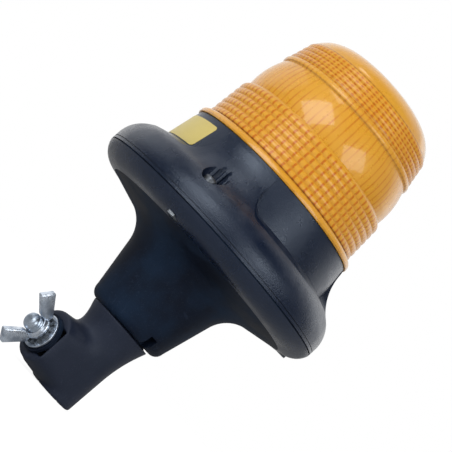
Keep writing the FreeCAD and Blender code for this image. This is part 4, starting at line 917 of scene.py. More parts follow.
@dataclass
class LensDome:
    """Amber lens with ribbed bands outside, flutes inside and bayonet lugs below."""

    skirt_r: float = 54.0
    skirt_wall: float = 2.0
    skirt_foot: float = 155.0
    flange_r: float = 59.5
    flange_foot: float = 162.4
    flange_top: float = 164.4
    flange_chamfer: float = 0.3
    shoulder_in: float = 0.7
    shoulder_share: float = 0.4
    foot_edge_r: float = 57.35
    foot_r: float = 55.6
    foot: float = 166.3
    band_r: float = 54.0
    band_top: float = 191.8
    bulge_foot_r: float = 52.3
    bulge_foot: float = 193.3
    bulge_r: float = 52.6
    bulge_share: float = 0.34
    bulge_top_r: float = 49.0
    bulge_top: float = 215.9
    ridge_r: float = 49.9
    ridge_share: float = 0.45
    upper_foot_r: float = 48.4
    upper_foot: float = 220.3
    upper_r: float = 45.2
    upper_top: float = 234.5
    edge_r: float = 33.0
    edge: float = 245.3
    edge_in_share: float = 0.4
    edge_up_share: float = 0.62
    edge_wall: tuple = (0.9, 0.8)
    top: float = 249.7
    rib: float = 0.7
    wall: float = 2.6
    lower_ribs: int = 6
    upper_ribs: int = 4
    upper_rows: int = 8
    flutes: int = 80
    flute_steps: int = 6
    flute_depth: float = 0.9
    first_flute_deg: float = 232.75
    level_slack: float = 0.01
    wall_slack: float = 0.05
    lug_angles: tuple = (90.0, 210.0, 330.0)
    lug_out_r: float = 55.7
    lug_height: float = 2.0
    lug_half_deg: float = 10.0

    def finish(self) -> Amber:
        """Gives the lens's amber finish, set to its own bands.

        Returns:
            The finish.
        """
        # Heights and strengths of the painted shade lines at the creases and at the flange's foot.
        painted_creases = (
            PaintedCrease(height=self.flange_foot + 0.7, strength=0.5),
            PaintedCrease(height=self.foot + 0.8, strength=1.0),
            PaintedCrease(height=self.bulge_top + 0.8, strength=0.5),
            PaintedCrease(height=self.upper_foot + 1.2, strength=0.45),
            PaintedCrease(height=self.upper_top, strength=0.55))
        # After the base come the painted shade of the flute lines and rib valleys, the pale of random patches
        # and of the painted highlight on rib crests, and the painted shade of the creases.
        return Amber(
            "amber_lens", base=(0.59, 0.272, 0.019), painted_groove_shade=(0.46, 0.12, 0.003), pale=(0.645, 0.34, 0.036),
            painted_crease_shade=(0.17, 0.045, 0.003), flutes=self.flutes, first_flute_deg=self.first_flute_deg,
            foot=self.foot, band_top=self.band_top, upper_foot=self.upper_foot, upper_top=self.upper_top,
            lower_ribs=self.lower_ribs, upper_rows=self.upper_rows, painted_creases=painted_creases)

    def _ribs(self, pen: ProfilePen, low: tuple, high: tuple, count: int) -> None:
        """Draws a row of round ribs.

        Args:
            pen: the pen, standing at low.
            low: foot of the band, as radius and height.
            high: top of the band, as radius and height.
            count: number of ribs.
        """
        for index in range(count):
            middle, end = ((index + share) / count for share in (0.5, 1.0))
            crest = (low[0] + (high[0] - low[0]) * middle + self.rib, low[1] + (high[1] - low[1]) * middle)
            valley = (low[0] + (high[0] - low[0]) * end, low[1] + (high[1] - low[1]) * end)
            pen.arc(crest, valley, steps=5)

    def _outline(self, mesh: bmesh.types.BMesh) -> ProfilePen:
        """Draws the lens's section: up the outside, over the dome and down the inside.

        Args:
            mesh: the mesh to draw in.

        Returns:
            The pen, with the section closed.
        """
        cap = self.top - self.edge
        dome_r = (self.edge_r ** 2 + cap ** 2) / (2.0 * cap)
        inner_r = dome_r - self.wall
        half_lean = math.asin(self.edge_r / dome_r) / 2.0
        outer_cap, inner_cap = (
            (radius * math.sin(half_lean), self.top - dome_r + radius * math.cos(half_lean))
            for radius in (dome_r, inner_r))
        inner_edge_r = self.edge_r * inner_r / dome_r
        inner_edge = self.top - dome_r + math.sqrt(inner_r ** 2 - inner_edge_r ** 2)
        edge_middle = (self.upper_r - (self.upper_r - self.edge_r) * self.edge_in_share,
                       self.upper_top + self.edge_up_share * (self.edge - self.upper_top))
        inner_middle = tuple(place - self.wall * share for place, share in zip(edge_middle, self.edge_wall))
        shoulder = self.foot - self.shoulder_share * (self.foot - self.flange_top)
        widest = self.bulge_foot + self.bulge_share * (self.bulge_top - self.bulge_foot)
        ridge = self.bulge_top + self.ridge_share * (self.upper_foot - self.bulge_top)
        pen = ProfilePen(mesh, self.skirt_r, self.flange_foot)
        pen.line(self.flange_r - self.flange_chamfer, self.flange_foot)
        pen.line(self.flange_r, self.flange_foot + self.flange_chamfer)
        pen.line(self.flange_r, self.flange_top)
        pen.arc((self.flange_r - self.shoulder_in, shoulder), (self.foot_edge_r, self.foot), steps=5)
        pen.line(self.foot_r, self.foot)
        self._ribs(pen, (self.foot_r, self.foot), (self.band_r, self.band_top), self.lower_ribs)
        pen.line(self.bulge_foot_r, self.bulge_foot)
        pen.arc((self.bulge_r, widest), (self.bulge_top_r, self.bulge_top), steps=12)
        pen.arc((self.ridge_r, ridge), (self.upper_foot_r, self.upper_foot), steps=6)
        self._ribs(pen, (self.upper_foot_r, self.upper_foot), (self.upper_r, self.upper_top), self.upper_ribs)
        pen.arc(edge_middle, (self.edge_r, self.edge), steps=9)
        pen.arc(outer_cap, (0.0, self.top), steps=7)
        pen.line(0.0, self.top - self.wall)
        pen.arc(inner_cap, (inner_edge_r, inner_edge), steps=6)
        pen.arc(inner_middle, (self.upper_r - self.wall, self.upper_top - self.wall), steps=6)
        pen.line(self.bulge_top_r - self.wall, self.bulge_top, steps=4)
        pen.line(self.bulge_foot_r - self.wall, self.bulge_foot, steps=4)
        pen.line(self.foot_r - self.wall, self.foot, steps=5)
        pen.line(self.skirt_r - self.skirt_wall, self.flange_foot)
        pen.line(self.skirt_r - self.skirt_wall, self.skirt_foot)
        pen.line(self.skirt_r, self.skirt_foot)
        pen.close()
        return pen

    def _inner_r(self, height: float) -> float:
        """Gives the plain inner wall's radius at a height between the foot and the dome.

        Args:
            height: Z in millimetres.

        Returns:
            The radius in millimetres.
        """
        wall_line = [(z, r - self.wall) for z, r in (
            (self.foot, self.foot_r), (self.bulge_foot, self.bulge_foot_r),
            (self.bulge_top, self.bulge_top_r), (self.upper_top - self.wall, self.upper_r))]
        for (low, low_r), (high, high_r) in zip(wall_line, wall_line[1:]):
            if height <= high:
                return low_r + (high_r - low_r) * (height - low) / (high - low)
        return wall_line[-1][1]

    def _press_flutes(self, mesh: bmesh.types.BMesh) -> None:
        """Presses the row of flutes into the inner wall.

        Args:
            mesh: the spun lens.
        """
        first = math.radians(self.first_flute_deg)
        low, high = self.foot - self.level_slack, self.upper_top - self.wall - self.level_slack
        for vert in mesh.verts:
            height, radius = vert.co.z / MM, vert.co.xy.length / MM
            if not low < height < high or abs(radius - self._inner_r(height)) > self.wall_slack:
                continue
            swell = abs(math.sin((math.atan2(vert.co.y, vert.co.x) - first) * self.flutes / 2.0))
            vert.co.xy *= (radius - self.flute_depth * swell) / radius

    def _add_lugs(self, mesh: bmesh.types.BMesh) -> None:
        """Adds the bayonet lugs round the skirt's foot.

        Args:
            mesh: the spun lens.
        """
        inner, lug_top = self.skirt_r - self.skirt_wall / 2.0, self.skirt_foot + self.lug_height
        corners = ((inner, self.skirt_foot), (self.lug_out_r, self.skirt_foot),
                   (self.lug_out_r, lug_top), (inner, lug_top))
        for angle in self.lug_angles:
            start = Matrix.Rotation(math.radians(angle - self.lug_half_deg), 4, "Z")
            verts = [bmesh.ops.create_vert(mesh, co=start @ Vector((r * MM, 0.0, z * MM)))["vert"][0]
                     for r, z in corners]
            face = mesh.faces.new(verts)
            bmesh.ops.spin(
                mesh, geom=[face], cent=(0.0, 0.0, 0.0), axis=(0.0, 0.0, 1.0),
                angle=math.radians(2.0 * self.lug_half_deg), steps=8, use_merge=False)
            bmesh.ops.recalc_face_normals(mesh, faces=list({f for v in verts for f in v.link_faces}))

    def build(self) -> list[bpy.types.Object]:
        """Builds and dresses the lens.

        Returns:
            The lens alone.
        """
        mesh = bmesh.new()
        self._outline(mesh).spin(self.flutes * self.flute_steps)
        self._press_flutes(mesh)
        self._add_lugs(mesh)
        bmesh.ops.recalc_face_normals(mesh, faces=mesh.faces)
        piece = finish_piece("amber_lens", mesh)
        paint(piece, self.finish().material())
        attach(piece, Body.LENS.value)
        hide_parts("lens")
        return [piece]


@dataclass
class RubberNeck:
    """Rubber boot between socket and head, with the two wires that run inside it."""

    rings: int = 192
    bend_low: float = 60.0
    bend_high: float = 94.0
    notch_width: float = 5.4
    notch_depth: float = 7.0
    notch_height: float = 7.4
    notch_y: float = -26.2
    notch_over: float = 4.0
    foot: float = 53.2
    spigot_r: float = 17.4
    lip_r: float = 21.0
    lip_corner: tuple = (24.59, 54.87)
    lip_top: float = 58.6
    lip_slack: float = 0.1
    lip_sag: float = 0.8
    sag_polar_deg: float = 135.0
    bell_foot_r: float = 26.2
    bell_top_r: float = 32.3
    bell_top: float = 86.6
    flare_middle: tuple = (37.1, 96.05)
    flare_r: float = 46.0
    flare_top: float = 101.6
    rim_r: float = 65.9
    rim_foot: float = 106.6
    rim_top: float = 108.0
    step_r: float = 63.7
    step_top: float = 110.2
    groove_r: float = 58.7
    groove_top: float = 113.2
    bead_r: float = 63.0
    bead_top: float = 116.8
    mouth_r: float = 54.6
    mouth_foot: float = 108.4
    inner_flare_r: float = 44.92
    inner_flare_top: float = 105.2
    inner_flare_middle: tuple = (34.2, 97.8)
    inner_top_r: float = 28.7
    inner_foot_r: float = 22.6
    web_top: float = 61.0
    web_r: float = 15.6
    web_foot: float = 56.0
    wire_low: float = 76.0
    wire_high: float = 121.6
    wire_end: float = 1.0
    wire_bend_high: float = 100.0
    slice_pitch: float = 2.0

    def _boot(self) -> bpy.types.Object:
        """Builds the boot with the notch in its lower lip.

        Returns:
            The boot.
        """
        mesh = bmesh.new()
        pen = ProfilePen(mesh, self.spigot_r, self.foot)
        pen.line(self.lip_r, self.foot).arc(self.lip_corner, (self.bell_foot_r, self.lip_top), steps=8)
        pen.line(self.bell_top_r, self.bell_top, steps=14)
        pen.arc(self.flare_middle, (self.flare_r, self.flare_top), steps=14)
        pen.line(self.rim_r, self.rim_foot, steps=8).line(self.rim_r, self.rim_top)
        pen.line(self.step_r, self.rim_top).line(self.step_r, self.step_top)
        pen.line(self.groove_r, self.step_top).line(self.groove_r, self.groove_top)
        pen.line(self.bead_r, self.groove_top).line(self.bead_r, self.bead_top)
        pen.line(self.mouth_r, self.bead_top).line(self.mouth_r, self.mouth_foot)
        pen.line(self.inner_flare_r, self.inner_flare_top, steps=3)
        pen.arc(self.inner_flare_middle, (self.inner_top_r, self.bell_top), steps=10)
        pen.line(self.inner_foot_r, self.web_top, steps=12).line(self.web_r, self.web_top, steps=2)
        pen.line(self.web_r, self.web_foot).line(self.spigot_r, self.web_foot)
        pen.close()
        pen.spin(self.rings)
        self._settle_lip(mesh)
        return joined(finish_piece("neck_boot", mesh), self._notch_cutter(), "DIFFERENCE")

    def _notch_cutter(self) -> bpy.types.Object:
        """Makes the block that cuts the notch, longer than it below and in front.

        Returns:
            The block.
        """
        mesh = bmesh.new()
        over = Vector((0.0, self.notch_over, self.notch_over))
        size = Vector((self.notch_width, self.notch_depth, self.notch_height))
        corner = Vector((0.0, self.notch_y, self.foot))
        middle = corner + Vector((0.0, size.y, size.z)) / 2.0 - over / 2.0
        placed = Matrix.Translation(middle * MM) @ Matrix.Diagonal((*((size + over) * MM), 1.0))
        bmesh.ops.create_cube(mesh, size=1.0, matrix=placed)
        return finish_piece("notch_cutter", mesh)

    def _settle_lip(self, mesh: bmesh.types.BMesh) -> None:
        """Lets the lip's outer edge sag on the side where it meets the shoulder.

        Args:
            mesh: the spun boot.
        """
        for vert in mesh.verts:
            radius, height = vert.co.xy.length / MM, vert.co.z / MM
            if radius < self.lip_r - self.lip_slack or height > self.lip_top:
                continue
            turn = math.atan2(vert.co.y, vert.co.x) - math.radians(self.sag_polar_deg)
            share = max(0.0, math.cos(turn)) * (self.lip_top - height) / (self.lip_top - self.foot)
            vert.co.z -= self.lip_sag * share * MM

    def _wire(self, node: str) -> bpy.types.Object:
        """Copies a wire and cuts rings across it.

        Args:
            node: the wire's CAD node.

        Returns:
            The wire.
        """
        mesh = merged_copy(node)
        slice_heights(mesh, self.wire_low + self.wire_end, self.wire_high - self.wire_end, self.slice_pitch)
        return finish_piece(node + "_run", mesh)

    def build(self, finishes: dict[Slot, bpy.types.Material]) -> list[bpy.types.Object]:
        """Builds and dresses the boot and wires.

        Args:
            finishes: material of each slot.

        Returns:
            The pieces.
        """
        wire_bend = (self.wire_low + self.wire_end, self.wire_bend_high)
        plan = (
            ("flex_boot", self._boot(), Slot.RUBBER, (self.bend_low, self.bend_high)),
            ("live_wire", self._wire("live_wire"), Slot.RED_WIRE, wire_bend),
            ("earth_wire", self._wire("earth_wire"), Slot.DARK_WIRE, wire_bend))
        for node, piece, slot, (low, high) in plan:
            paint(piece, finishes[slot])
            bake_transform(piece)
            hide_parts(node)
        return [piece for _, piece, _, _ in plan]


@dataclass
class PoleSocket:
    """Moulded socket whose clamp boss flows softly into its tube."""

    voxel: float = 0.6
    rounds: int = 12
    crest_rounds: int = 24
    strokes: int = 10
    polish: int = 3
    stroke_share: float = 0.5
    bore_r: float = 13.7
    far_share: float = 0.8
    soft_x: float = 9.0
    soft_low: float = 2.4
    soft_high: float = 49.0
    boss_z: float = 19.4
    face_x: float = -30.6
    pocket_x: float = -24.6
    pocket_half_y: float = 12.2
    pocket_half_z: float = 9.8
    crest_x: float = -20.0
    crest_z: float = 18.0
    matt: Moulded = Moulded("socket_matt", (0.006, 0.010, 0.024), (0.010, 0.014, 0.030), 0.58, 0.45,
                            depth=0.16, gloss_tint=(0.80, 0.88, 1.0))

    def _is_soft(self, place: Vector) -> bool:
        """Tells whether a point lies on the outside of the boss or of the tube next to it.

        Args:
            place: the point, in metres.

        Returns:
            Whether the smoothing may move it.
        """
        x, y, z = place / MM
        beside, level = abs(y), abs(z - self.boss_z)
        in_pocket = x < self.pocket_x and beside < self.pocket_half_y and level < self.pocket_half_z
        in_stud_hole = beside <= self.pocket_half_y / 2.0 and level <= self.pocket_half_z
        outside = math.hypot(x, y) > self.bore_r and not in_stud_hole and not in_pocket
        return outside and self.face_x < x < self.soft_x and self.soft_low < z < self.soft_high

    def _tube_radii(self, mesh: bmesh.types.BMesh) -> list[float]:
        """Measures the plain tube on the side away from the boss.

        Args:
            mesh: the socket's skin.

        Returns:
            The tube's outer radius at each whole millimetre of height, in metres.
        """
        levels: dict[int, list[float]] = {}
        for vert in mesh.verts:
            span = vert.co.xy.length
            if vert.co.x > self.far_share * span and span > self.bore_r * MM:
                levels.setdefault(round(vert.co.z / MM), []).append(span)
        return [sum(levels[level]) / len(levels[level]) for level in range(int(self.soft_high) + 2)]

    def _stroke(self, mesh: bmesh.types.BMesh, verts: Iterable[bmesh.types.BMVert], times: int) -> None:
        """Smooths vertices towards their neighbours.

        Args:
            mesh: the socket's skin.
            verts: vertices that may move.
            times: how often they move.
        """
        for _ in range(times):
            bmesh.ops.smooth_vert(
                mesh, verts=verts, factor=self.stroke_share,
                use_axis_x=True, use_axis_y=True, use_axis_z=True)

    def _soften(self, mesh: bmesh.types.BMesh, soft: list[bmesh.types.BMVert], radii: list[float],
                rounds: int) -> None:
        """Smooths part of the boss into the tube without letting the tube shrink.

        Args:
            mesh: the socket's skin.
            soft: vertices that may move.
            radii: the tube's outer radius at each whole millimetre of height.
            rounds: how often the smoothing is done.
        """
        for _ in range(rounds):
            self._stroke(mesh, soft, self.strokes)
            for vert in soft:
                level = int(vert.co.z / MM)
                share = vert.co.z / MM - level
                least = radii[level] * (1.0 - share) + radii[level + 1] * share
                span = vert.co.xy.length
                if span < least:
                    vert.co.xy *= least / span

    def build(self) -> list[bpy.types.Object]:
        """Builds and dresses the socket.

        Returns:
            The socket alone.
        """
        piece = finish_piece("moulded_socket", merged_copy("pole_socket"))
        skin = piece.modifiers.new("skin", "REMESH")
        skin.mode = "VOXEL"
        skin.voxel_size = self.voxel * MM
        fine = evaluated_mesh(piece)
        mesh = bmesh.new()
        mesh.from_mesh(fine)
        radii = self._tube_radii(mesh)
        soft = [vert for vert in mesh.verts if self._is_soft(vert.co)]
        crest = [vert for vert in soft if vert.co.x > self.crest_x * MM and vert.co.z > self.crest_z * MM]
        self._soften(mesh, crest, radii, self.crest_rounds)
        self._soften(mesh, soft, radii, self.rounds)
        self._stroke(mesh, mesh.verts, self.polish)
        mesh.to_mesh(fine)
        mesh.free()
        fine.shade_smooth()
        piece.data = fine
        paint(piece, self.matt.material())
        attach(piece, Body.MOUNT.value)
        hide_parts("pole_socket")
        return [piece]


@dataclass
class WingNut:
    """Cast wing nut on the clamp's stud, with rounded ears."""

    seat_x: float = -36.5
    axis_z: float = 19.4
    bore_r: float = 5.08
    bore_chamfer: float = 0.4
    foot_r: float = 6.9
    top_r: float = 6.4
    hub: float = 3.8
    foot_start_in: float = 0.5
    foot_middle: tuple = (0.1, 0.2)
    foot_end: float = 0.6
    waist_start: float = 1.5
    waist_middle: tuple = (0.35, 1.8)
    waist_end: tuple = (0.1, 2.4)
    crown_start: tuple = (0.15, 1.0)
    crown_middle: tuple = (0.35, 0.3)
    crown_end_in: float = 0.7
    hub_steps: int = 72
    ear_thickness: float = 4.2
    ear_round: float = 0.8
    ear_outline: tuple = ((5.5, 0.8), (9.6, 0.6), (19.0, 11.0), (12.7, 16.4), (5.4, 6.6))

    def _hub(self) -> bmesh.types.BMesh:
        """Turns the hub, standing on the XY plane.

        Returns:
            The working mesh.
        """
        mesh = bmesh.new()
        chamfer_r = self.bore_r + self.bore_chamfer
        pen = ProfilePen(mesh, chamfer_r, 0.0)
        pen.line(self.foot_r - self.foot_start_in, 0.0)
        pen.arc((self.foot_r - self.foot_middle[0], self.foot_middle[1]),
                (self.foot_r, self.foot_end), steps=3)
        pen.line(self.foot_r, self.waist_start)
        pen.arc((self.foot_r - self.waist_middle[0], self.waist_middle[1]),
                (self.top_r + self.waist_end[0], self.waist_end[1]), steps=4)
        pen.line(self.top_r - self.crown_start[0], self.hub - self.crown_start[1])
        pen.arc((self.top_r - self.crown_middle[0], self.hub - self.crown_middle[1]),
                (self.top_r - self.crown_end_in, self.hub), steps=4)
        pen.line(chamfer_r, self.hub).line(self.bore_r, self.hub - self.bore_chamfer)
        pen.line(self.bore_r, self.bore_chamfer)
        pen.close()
        pen.spin(self.hub_steps)
        return mesh

    def _ears(self) -> bmesh.types.BMesh:
        """Casts both ears.

        Returns:
            The working mesh.
        """
        mesh = bmesh.new()
        side = -self.ear_thickness / 2.0
        places = [Vector((x, side, z)) * MM for x, z in self.ear_outline]
        face = mesh.faces.new([bmesh.ops.create_vert(mesh, co=place)["vert"][0] for place in places])
        raised = bmesh.ops.extrude_face_region(mesh, geom=[face], use_keep_orig=True)
        top = [item for item in raised["geom"] if isinstance(item, bmesh.types.BMVert)]
        bmesh.ops.translate(mesh, verts=top, vec=Vector((0.0, self.ear_thickness, 0.0)) * MM)
        bmesh.ops.recalc_face_normals(mesh, faces=mesh.faces)
        bmesh.ops.bevel(
            mesh, geom=list(mesh.edges), offset=self.ear_round * MM, affect="EDGES", segments=3, profile=0.5,
            material=-1)
        twin = bmesh.ops.duplicate(mesh, geom=list(mesh.verts) + list(mesh.edges) + list(mesh.faces))
        twin_verts = [item for item in twin["geom"] if isinstance(item, bmesh.types.BMVert)]
        half_turn = Matrix.Rotation(math.pi, 3, "Z")
        bmesh.ops.rotate(mesh, verts=twin_verts, cent=(0.0, 0.0, 0.0), matrix=half_turn)
        return mesh

    def build(self, finishes: dict[Slot, bpy.types.Material]) -> list[bpy.types.Object]:
        """Builds and dresses the nut.

        Args:
            finishes: material of each slot.

        Returns:
            The nut alone.
        """
        seat = Matrix.Translation(Vector((self.seat_x, 0.0, self.axis_z)) * MM)
        place = seat @ Matrix.Rotation(-math.pi / 2.0, 4, "Y")
        shells = []
        for name, mesh in (("cast_wing_nut", self._hub()), ("nut_ears", self._ears())):
            bmesh.ops.transform(mesh, matrix=place, verts=mesh.verts)
            shells.append(finish_piece(name, mesh))
        piece = joined(*shells, "UNION")
        paint(piece, finishes[Slot.ZINC])
        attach(piece, Body.NUT.value)
        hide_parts("wing_nut")
        return [piece]


@dataclass
class SupplySpring:
    """Contact spring that the pole's pin presses at the centre contact."""

    anchor: float = 55.3
    keep: float = 0.8

    def build(self, finishes: dict[Slot, bpy.types.Material]) -> list[bpy.types.Object]:
        """Builds and dresses the spring.

        Args:
            finishes: material of each slot.

        Returns:
            The spring alone.
        """
        piece = finish_piece("contact_coil", merged_copy("contact_spring"))
        paint(piece, finishes[Slot.ZINC])
        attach(piece, Body.MOUNT.value)
        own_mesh(piece)
        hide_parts("contact_spring")
        return [piece]


@dataclass
class CarriedNodes:
    """CAD nodes whose shape is shown as packed, in their slots' finishes or a steel of their own; the small
    steel parts that sit deep get a darker steel as painted shade.
    """

    replaced: tuple = (
        "lens", "flex_boot", "live_wire", "earth_wire", "contact_spring", "wing_nut", "pole_socket")
    # Painted shade: these get a darker copy of the zinc in place of the shade where they sit in holes and
    # pockets.
    shade_darkened: tuple = ("housing_bolts", "housing_nuts", "lock_washer")
    stud: str = "clamp_eyebolt"
    shade_dark_steel: Plated = Plated("shade_dark_steel", (0.20, 0.22, 0.24), (0.11, 0.12, 0.14), 0.42)
    stud_steel: Plated = Plated("stud_steel", (0.58, 0.66, 0.76), (0.30, 0.36, 0.44), 0.34)

    def build(self, finishes: dict[Slot, bpy.types.Material]) -> list[bpy.types.Object]:
        """Dresses the nodes that nothing replaces.

        Args:
            finishes: material of each slot.

        Returns:
            The nodes.
        """
        dressed = []
        own = dict.fromkeys(self.shade_darkened, self.shade_dark_steel.material())
        own[self.stud] = self.stud_steel.material()
        for name, node in sorted(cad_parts.items()):
            if name in self.replaced:
                continue
            slot = Slot(node.data.materials[0].name.split(".")[0])
            paint(node, own.get(name) or finishes[slot])
            dressed.append(node)
        return dressed


def slot_finishes() -> dict[Slot, bpy.types.Material]:
    """Builds the finish of each slot that nothing paints by itself.

    Returns:
        Slot to material.
    """
    finishes = {
        Slot.PLASTIC: Moulded("moulded_black", (0.002, 0.0055, 0.017), (0.004, 0.008, 0.022), 0.31, 0.62,
                              depth=0.3, gloss_tint=(0.74, 0.85, 1.0)),
        Slot.RUBBER: Moulded("neck_rubber", (0.003, 0.005, 0.012), (0.005, 0.013, 0.030), 0.60, 0.12,
                             grain=3000.0, patches=32.0, depth=0.08, dust=0.03, gloss_tint=(0.80, 0.90, 1.0)),
        Slot.ZINC: Plated("zinc_plate", (0.78, 0.86, 0.97), (0.27, 0.33, 0.42), 0.31),
        Slot.NYLON: Moulded("natural_nylon", (0.62, 0.60, 0.52), (0.70, 0.68, 0.60), 0.45, 0.5),
        Slot.BRASS: Plated("turned_brass", (0.72, 0.50, 0.20), (0.52, 0.34, 0.13), 0.26),
        Slot.RED_WIRE: Moulded("red_wire", (0.45, 0.02, 0.015), (0.52, 0.04, 0.03), 0.4, 0.5),
        Slot.DARK_WIRE: Moulded("dark_wire", (0.03, 0.03, 0.035), (0.05, 0.05, 0.055), 0.4, 0.5),
        Slot.LABEL: Film("label_film", (0.48, 0.38, 0.093), (0.39, 0.30, 0.075)),
        Slot.ALUMINIUM: Plated("rolled_aluminium", (0.70, 0.71, 0.72), (0.58, 0.59, 0.61), 0.36,
                               stretch=(0.05, 1.0, 1.0)),
        Slot.SLEEVE: Moulded("capacitor_sleeve", (0.03, 0.05, 0.14), (0.05, 0.07, 0.18), 0.32, 0.5,
                             depth=0.04),
        Slot.BOARD: Laminate("solder_mask", (0.02, 0.14, 0.05), (0.55, 0.36, 0.12)),
        Slot.FERRITE: Moulded("ferrite_core", (0.05, 0.05, 0.055), (0.08, 0.08, 0.085), 0.6, 0.3, depth=0.25),
        # The coil's second colour is the painted shade between its turns.
        Slot.COIL: Winding("coil_winding", (0.75, 0.52, 0.08), (0.30, 0.16, 0.02)),
        Slot.CHIP: Moulded("moulded_chip", (0.02, 0.02, 0.022), (0.035, 0.035, 0.038), 0.55, 0.3),
        Slot.RESISTOR: Moulded("resistor_lacquer", (0.55, 0.40, 0.24), (0.62, 0.47, 0.30), 0.4, 0.5,
                               depth=0.05),
        Slot.CERAMIC: Moulded("glazed_ceramic", (0.78, 0.76, 0.70), (0.84, 0.82, 0.77), 0.3, 0.5, depth=0.05),
        Slot.QUARTZ: Quartz("fired_quartz", (0.95, 0.96, 0.97), (0.62, 0.62, 0.64)),
        Slot.MIRROR: Plated("bright_reflector", (0.84, 0.85, 0.86), (0.76, 0.77, 0.79), 0.2, depth=0.03),
    }
    return {slot: finish.material() for slot, finish in finishes.items()}


# Studio


@dataclass(frozen=True)
class Softbox:
    """Softbox that faces the lens, placed by its turn from the camera and its rise above the lens."""

    name: str
    turn_deg: float
    rise_deg: float
    distance: float
    size: tuple
    radiance: float
    tilt_deg: float = 0.0


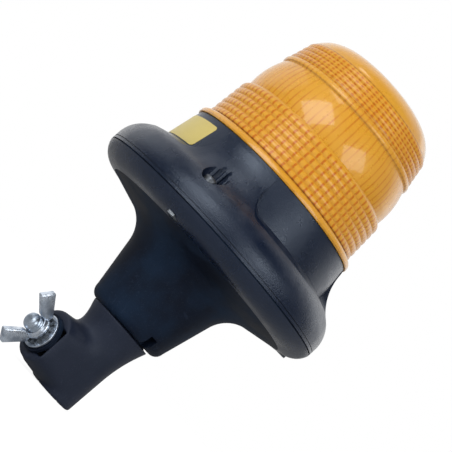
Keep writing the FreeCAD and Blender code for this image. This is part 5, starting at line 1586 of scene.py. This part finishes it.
@dataclass
class Studio:
    """White floor, soft light and the camera at the photograph's angle."""

    camera_polar_deg: float = 230.4
    camera_distance: float = 0.8
    camera_height: float = 0.0467
    camera_pitch_deg: float = 6.02
    camera_roll_deg: float = 41.96
    camera_shift_px: tuple = (-4.2, 0.88)
    pixels_per_radian: float = 1466.0
    camera_lens: float = 116.76
    camera_sensor: float = 36.0
    floor_half: float = 6.0
    floor_grey: float = 0.85
    floor_shadow: float = 0.2
    floor_white: float = 0.90
    floor_gloss: float = 0.17
    world_light: float = 0.66
    aim: tuple = (0.0, 0.0, 0.2)
    room_grey: float = 0.16
    room_side: float = 0.34
    room_dim: float = 0.03
    wall_depth: tuple = (-0.5, 0.1)
    behind_depth: tuple = (0.15, 0.75)
    above_depth: tuple = (-0.15, 0.5)
    above_rise: tuple = (0.45, 0.9)
    shelf_foot: tuple = (0.05, 0.35)
    shelf_top: tuple = (0.5, 0.85)
    softboxes: tuple = (
        Softbox("key_softbox", -33.0, 19.0, 1.2, (0.78, 0.70), 4.25, 54.0),
        Softbox("fill_softbox", 36.0, 12.0, 1.2, (0.68, 0.56), 3.3, 32.0),
        Softbox("left_softbox", -100.0, 22.0, 1.3, (0.9, 0.7), 0.6),
        Softbox("right_softbox", 130.0, 25.0, 1.3, (0.8, 0.7), 0.4),
        Softbox("upper_softbox", -52.0, 60.0, 1.3, (0.6, 0.4), 3.0),
    )

    def _white(self, bench: NodeBench, plain: Feed, white: float, gloss: Feed) -> Socket:
        """Picks the backdrop's white for what the camera, gloss and glass see.

        Args:
            bench: the tree's bench.
            plain: strength for all other light.
            white: strength of the white.
            gloss: strength that gloss shows.

        Returns:
            The strength.
        """
        path = bench.place("LightPath").outputs
        seen = bench.math("MAXIMUM", path["Is Camera Ray"], path["Is Transmission Ray"])
        strength = bench.ramp_linear(seen, 0.0, 1.0, plain, white)
        shown = bench.math("MULTIPLY", path["Is Glossy Ray"], bench.math("SUBTRACT", gloss, strength))
        return bench.math("ADD", strength, shown)

    def _world(self) -> None:
        """Makes a white world that lights softly and that gloss sees dim on the camera's side."""
        world = bpy.data.worlds.new("studio_world")
        world.use_nodes = True
        world.node_tree.nodes.clear()
        bench = NodeBench(world.node_tree)
        side = bench.place("SeparateXYZ", {0: bench.place("TexCoord").outputs["Generated"]}).outputs
        behind = math.radians(self.camera_polar_deg + 180.0)
        depth = bench.math("MULTIPLY", side["X"], math.cos(behind))
        depth = bench.math("ADD", depth, bench.math("MULTIPLY", side["Y"], math.sin(behind)))
        high = bench.ramp(side["Z"], *self.above_rise)
        above = bench.math("MULTIPLY", bench.ramp(depth, *self.above_depth), high)
        sweep = bench.math("MAXIMUM", bench.ramp(depth, *self.behind_depth), above)
        shelf_end = bench.ramp(side["Z"], *self.shelf_top, 1.0, 0.0)
        shelf = bench.math("MULTIPLY", bench.ramp(side["Z"], *self.shelf_foot), shelf_end)
        walls = bench.ramp(depth, *self.wall_depth, self.room_grey, self.room_side)
        room = bench.ramp_linear(shelf, 0.0, 1.0, self.room_dim, walls)
        gloss = bench.ramp_linear(sweep, 0.0, 1.0, room, 1.0)
        sky = bench.place("Background", {"Color": (1.0, 1.0, 1.0)})
        bench.feed(sky.inputs["Strength"], self._white(bench, self.world_light, 1.0, gloss))
        bench.place("OutputWorld", {"Surface": sky.outputs[0]})
        bpy.context.scene.world = world

    def _floor(self) -> None:
        """Makes the floor, white to the camera with the object's shadow kept."""
        mesh = bmesh.new()
        bmesh.ops.create_grid(mesh, x_segments=1, y_segments=1, size=self.floor_half)
        floor = finish_piece("studio_floor", mesh)
        material = bpy.data.materials.new("floor_white")
        material.use_nodes = True
        material.node_tree.nodes.clear()
        bench = NodeBench(material.node_tree)
        matt = bench.place("BsdfDiffuse")
        shade = self._white(bench, self.floor_grey, self.floor_shadow, self.floor_shadow)
        bench.feed(matt.inputs["Color"], shade)
        glow = bench.place("Emission", {"Color": (1.0, 1.0, 1.0)})
        bench.feed(glow.inputs["Strength"], self._white(bench, 0.0, self.floor_white, self.floor_gloss))
        both = bench.place("AddShader", {0: matt.outputs[0], 1: glow.outputs[0]})
        bench.place("OutputMaterial", {"Surface": both.outputs[0]})
        paint(floor, material)

    def _hang(self, box: Softbox) -> None:
        """Hangs a softbox.

        Args:
            box: the softbox.
        """
        light = bpy.data.lights.new(box.name, "AREA")
        light.shape = "RECTANGLE"
        light.size, light.size_y = box.size
        light.energy = box.radiance * math.pi * box.size[0] * box.size[1]
        polar, rise = math.radians(self.camera_polar_deg + box.turn_deg), math.radians(box.rise_deg)
        away = Vector((math.cos(rise) * math.cos(polar), math.cos(rise) * math.sin(polar), math.sin(rise)))
        lamp = bpy.data.objects.new(box.name, light)
        tilt = Matrix.Rotation(math.radians(box.tilt_deg), 4, "Z")
        facing = away.to_track_quat("Z", "Y").to_matrix().to_4x4() @ tilt
        lamp.matrix_world = Matrix.Translation(Vector(self.aim) + away * box.distance) @ facing
        bpy.context.scene.collection.objects.link(lamp)

    def _camera(self) -> None:
        """Sets up the rolled camera."""
        polar = math.radians(self.camera_polar_deg)
        out = Vector((math.cos(polar), math.sin(polar), 0.0))
        up = Vector((0.0, 0.0, 1.0))
        right = Vector((-out.y, out.x, 0.0))
        pitch = math.radians(self.camera_pitch_deg)
        yaw, lift = (shift / self.pixels_per_radian for shift in self.camera_shift_px)
        look = (-out * math.cos(pitch) + up * math.sin(pitch) + right * yaw).normalized()
        roll = math.radians(self.camera_roll_deg)
        level = look.cross(up).normalized()
        rise = level.cross(look)
        image_y = rise * math.sin(roll) - level * math.cos(roll)
        look = (look + image_y * lift).normalized()
        image_x = look.cross(image_y).normalized()
        image_y = image_x.cross(look)
        data = bpy.data.cameras.new("photo_camera")
        data.sensor_width = self.camera_sensor
        data.lens = self.camera_lens
        camera = bpy.data.objects.new("photo_camera", data)
        turned = Matrix((image_x, image_y, -look)).transposed().to_4x4()
        turned.translation = out * self.camera_distance + up * self.camera_height
        camera.matrix_world = turned
        bpy.context.scene.collection.objects.link(camera)
        bpy.context.scene.camera = camera

    def build(self) -> None:
        """Sets the stage, the light and the camera."""
        bpy.context.scene.view_settings.view_transform = "Standard"
        self._world()
        self._floor()
        for box in self.softboxes:
            self._hang(box)
        self._camera()


def main() -> None:
    """Builds the studio and each sub-assembly, and reports every piece."""
    logging.basicConfig(level=logging.INFO, format="%(name)s: %(message)s")
    Studio().build()
    finishes = slot_finishes()
    pieces = LensDome().build() + RubberNeck().build(finishes)
    pieces += PoleSocket().build() + WingNut().build(finishes) + SupplySpring().build(finishes)
    pieces += CarriedNodes().build(finishes)
    for piece in pieces:
        LOG.info("%s: %d faces, %s", piece.name, len(piece.data.polygons), piece.data.materials[0].name)


if __name__ == "__main__":
    main()
